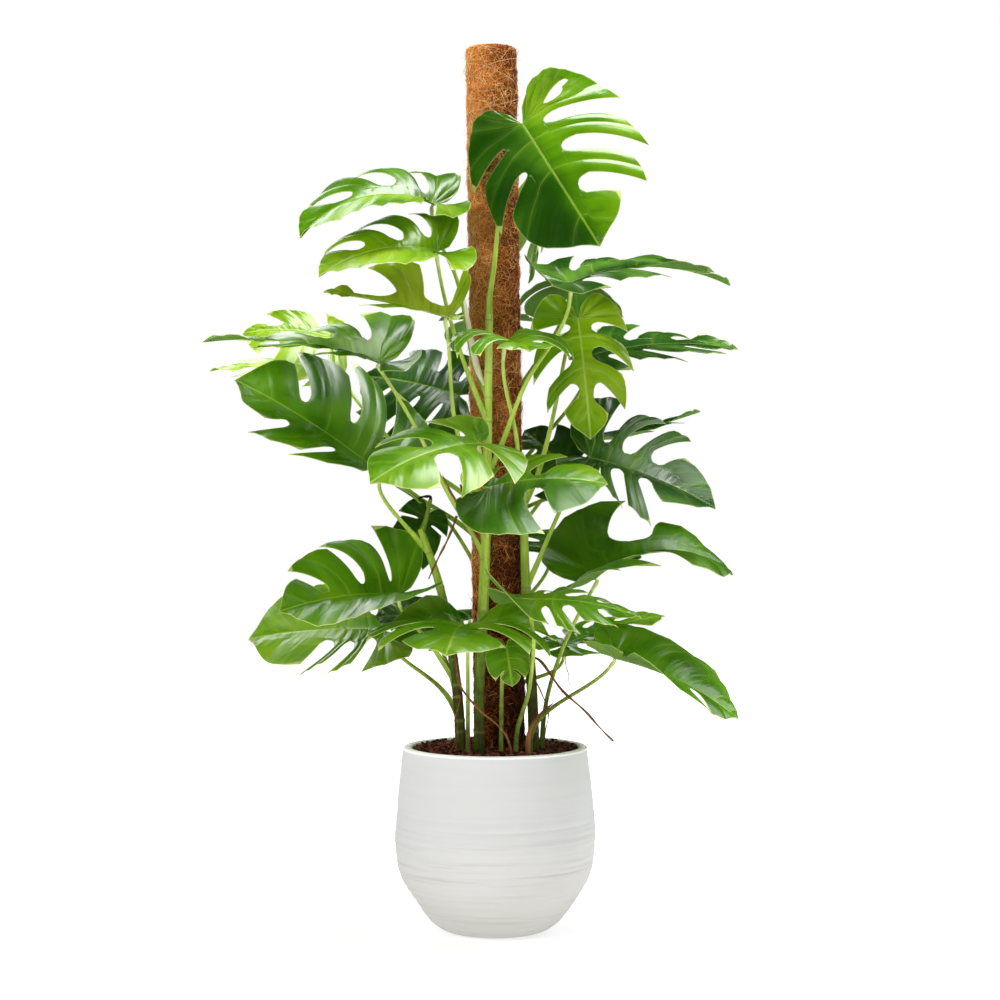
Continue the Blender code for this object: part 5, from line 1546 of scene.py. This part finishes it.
# Each light's place, size and power, and whether the leaves mirror it
LIGHTS = {
    "key": ((-2.3, -2.3, 2.1), 1.1, 70.0, False),
    "fill": ((2.4, -2.5, 1.3), 1.6, 24.0, False),
    "top": ((0.6, 0.1, 4.2), 2.4, 270.0, True),
    "back": ((-1.3, 2.5, 2.2), 1.4, 28.0, True),
    "side": ((2.6, 0.9, 2.3), 2.4, 50.0, True),
}
LIGHTS_AIM = (0.0, 0.0, 0.8)


def add_floor():
    mesh = bpy.data.meshes.new("floor")
    half = FLOOR_SIZE / 2
    corners = [(-half, -half, 0), (half, -half, 0), (half, half, 0), (-half, half, 0)]
    mesh.from_pydata(corners, [], [(0, 1, 2, 3)])
    floor = bpy.data.objects.new("floor", mesh)
    bpy.context.scene.collection.objects.link(floor)
    look = Look("floor_white", specular=0.0)
    look.paint(look.mix(look.noise(3.0, 2.0), (0.62, 0.62, 0.62, 1), (0.64, 0.64, 0.64, 1)), 0.9)
    look.shader.inputs["Emission Color"].default_value = (1.0, 1.0, 1.0, 1.0)
    # Brighter away from the pot, so that the floor fades into the white surroundings
    x, y, _ = look.parts(look.place)
    reach = look.math("SQRT", look.plus(look.math("POWER", x, 2.0), look.math("POWER", y, 2.0)))
    look.put(look.shader.inputs["Emission Strength"], look.span(reach, 0.5, 3.0, 0.52, 1.1))
    mesh.materials.append(look.made)
    floor.visible_glossy = False


def add_light(name, place, size, power, mirrored):
    data = bpy.data.lights.new(name, "AREA")
    data.shape = "SQUARE"
    data.size = size
    data.energy = power
    light = bpy.data.objects.new(name, data)
    light.location = place
    light.visible_camera = False
    light.visible_glossy = mirrored
    light.rotation_mode = "QUATERNION"
    light.rotation_quaternion = (Vector(LIGHTS_AIM) - Vector(place)).to_track_quat("-Z", "Y")
    bpy.context.scene.collection.objects.link(light)


def add_world():
    """White surroundings. They light the plant most from behind, above and the left, as in a white studio."""
    world = bpy.data.worlds.new("studio")
    world.use_nodes = True
    world.cycles_visibility.glossy = False
    bpy.context.scene.world = world
    nodes = Nodes(world.node_tree)
    make = nodes.tree.nodes.new
    x, y, z = nodes.parts(make("ShaderNodeTexCoord").outputs["Generated"])
    strength = nodes.plus(nodes.span(y, -0.3, 0.6, 0.12, 0.20), nodes.span(z, 0.15, 0.95, 0.0, 0.10))
    strength = nodes.plus(strength, nodes.span(x, -0.9, 0.1, 0.06, 0.0))
    # Plain white where the camera sees the surroundings themselves
    choose = make("ShaderNodeMix")
    nodes.put(choose.inputs[0], make("ShaderNodeLightPath").outputs["Is Camera Ray"])
    nodes.put(choose.inputs[2], strength)
    nodes.put(choose.inputs[3], 1.0)
    back = nodes.tree.nodes["Background"]
    nodes.put(back.inputs["Color"], (1.0, 1.0, 1.0, 1.0))
    nodes.put(back.inputs["Strength"], choose.outputs[0])


def add_camera():
    data = bpy.data.cameras.new("camera")
    data.lens = CAMERA_LENS
    camera = bpy.data.objects.new("camera", data)
    camera.location = CAMERA_PLACE
    camera.rotation_euler = (math.radians(90), 0, 0)
    bpy.context.scene.collection.objects.link(camera)
    bpy.context.scene.camera = camera


def build():
    add_camera()
    add_fine_pot(plaster_look())
    add_soil_ground(soil_look("soil_ground", 0))
    add_soil_chips(soil_look("soil_chip", 24))
    add_pole(felt_look(), fibre_look(), thread_look())
    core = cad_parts["pole_core"]
    core.data.materials.clear()
    core.data.materials.append(wood_look())
    stem = stem_look()
    add_stems(stem)
    add_sheaths({"cream": sheath_look("sheath_cream", rgb(238, 230, 204), rgb(196, 184, 140)),
                 "brown": sheath_look("sheath_brown", rgb(150, 98, 56), rgb(74, 40, 22)),
                 "red": sheath_look("sheath_red", rgb(170, 92, 52), rgb(104, 50, 26))})
    add_cut_stalk(stem, sheath_look("dry_tip", rgb(34, 30, 30), rgb(14, 12, 14)))
    add_roots(root_look())
    looks = [blade_look("blade_top", False), blade_look("blade_under", True)]
    for leaf in LEAVES:
        add_fine_blade(leaf, looks)
    add_floor()
    add_world()
    for name, settings in LIGHTS.items():
        add_light(name, *settings)
    bpy.context.scene.view_settings.view_transform = "Standard"


build()
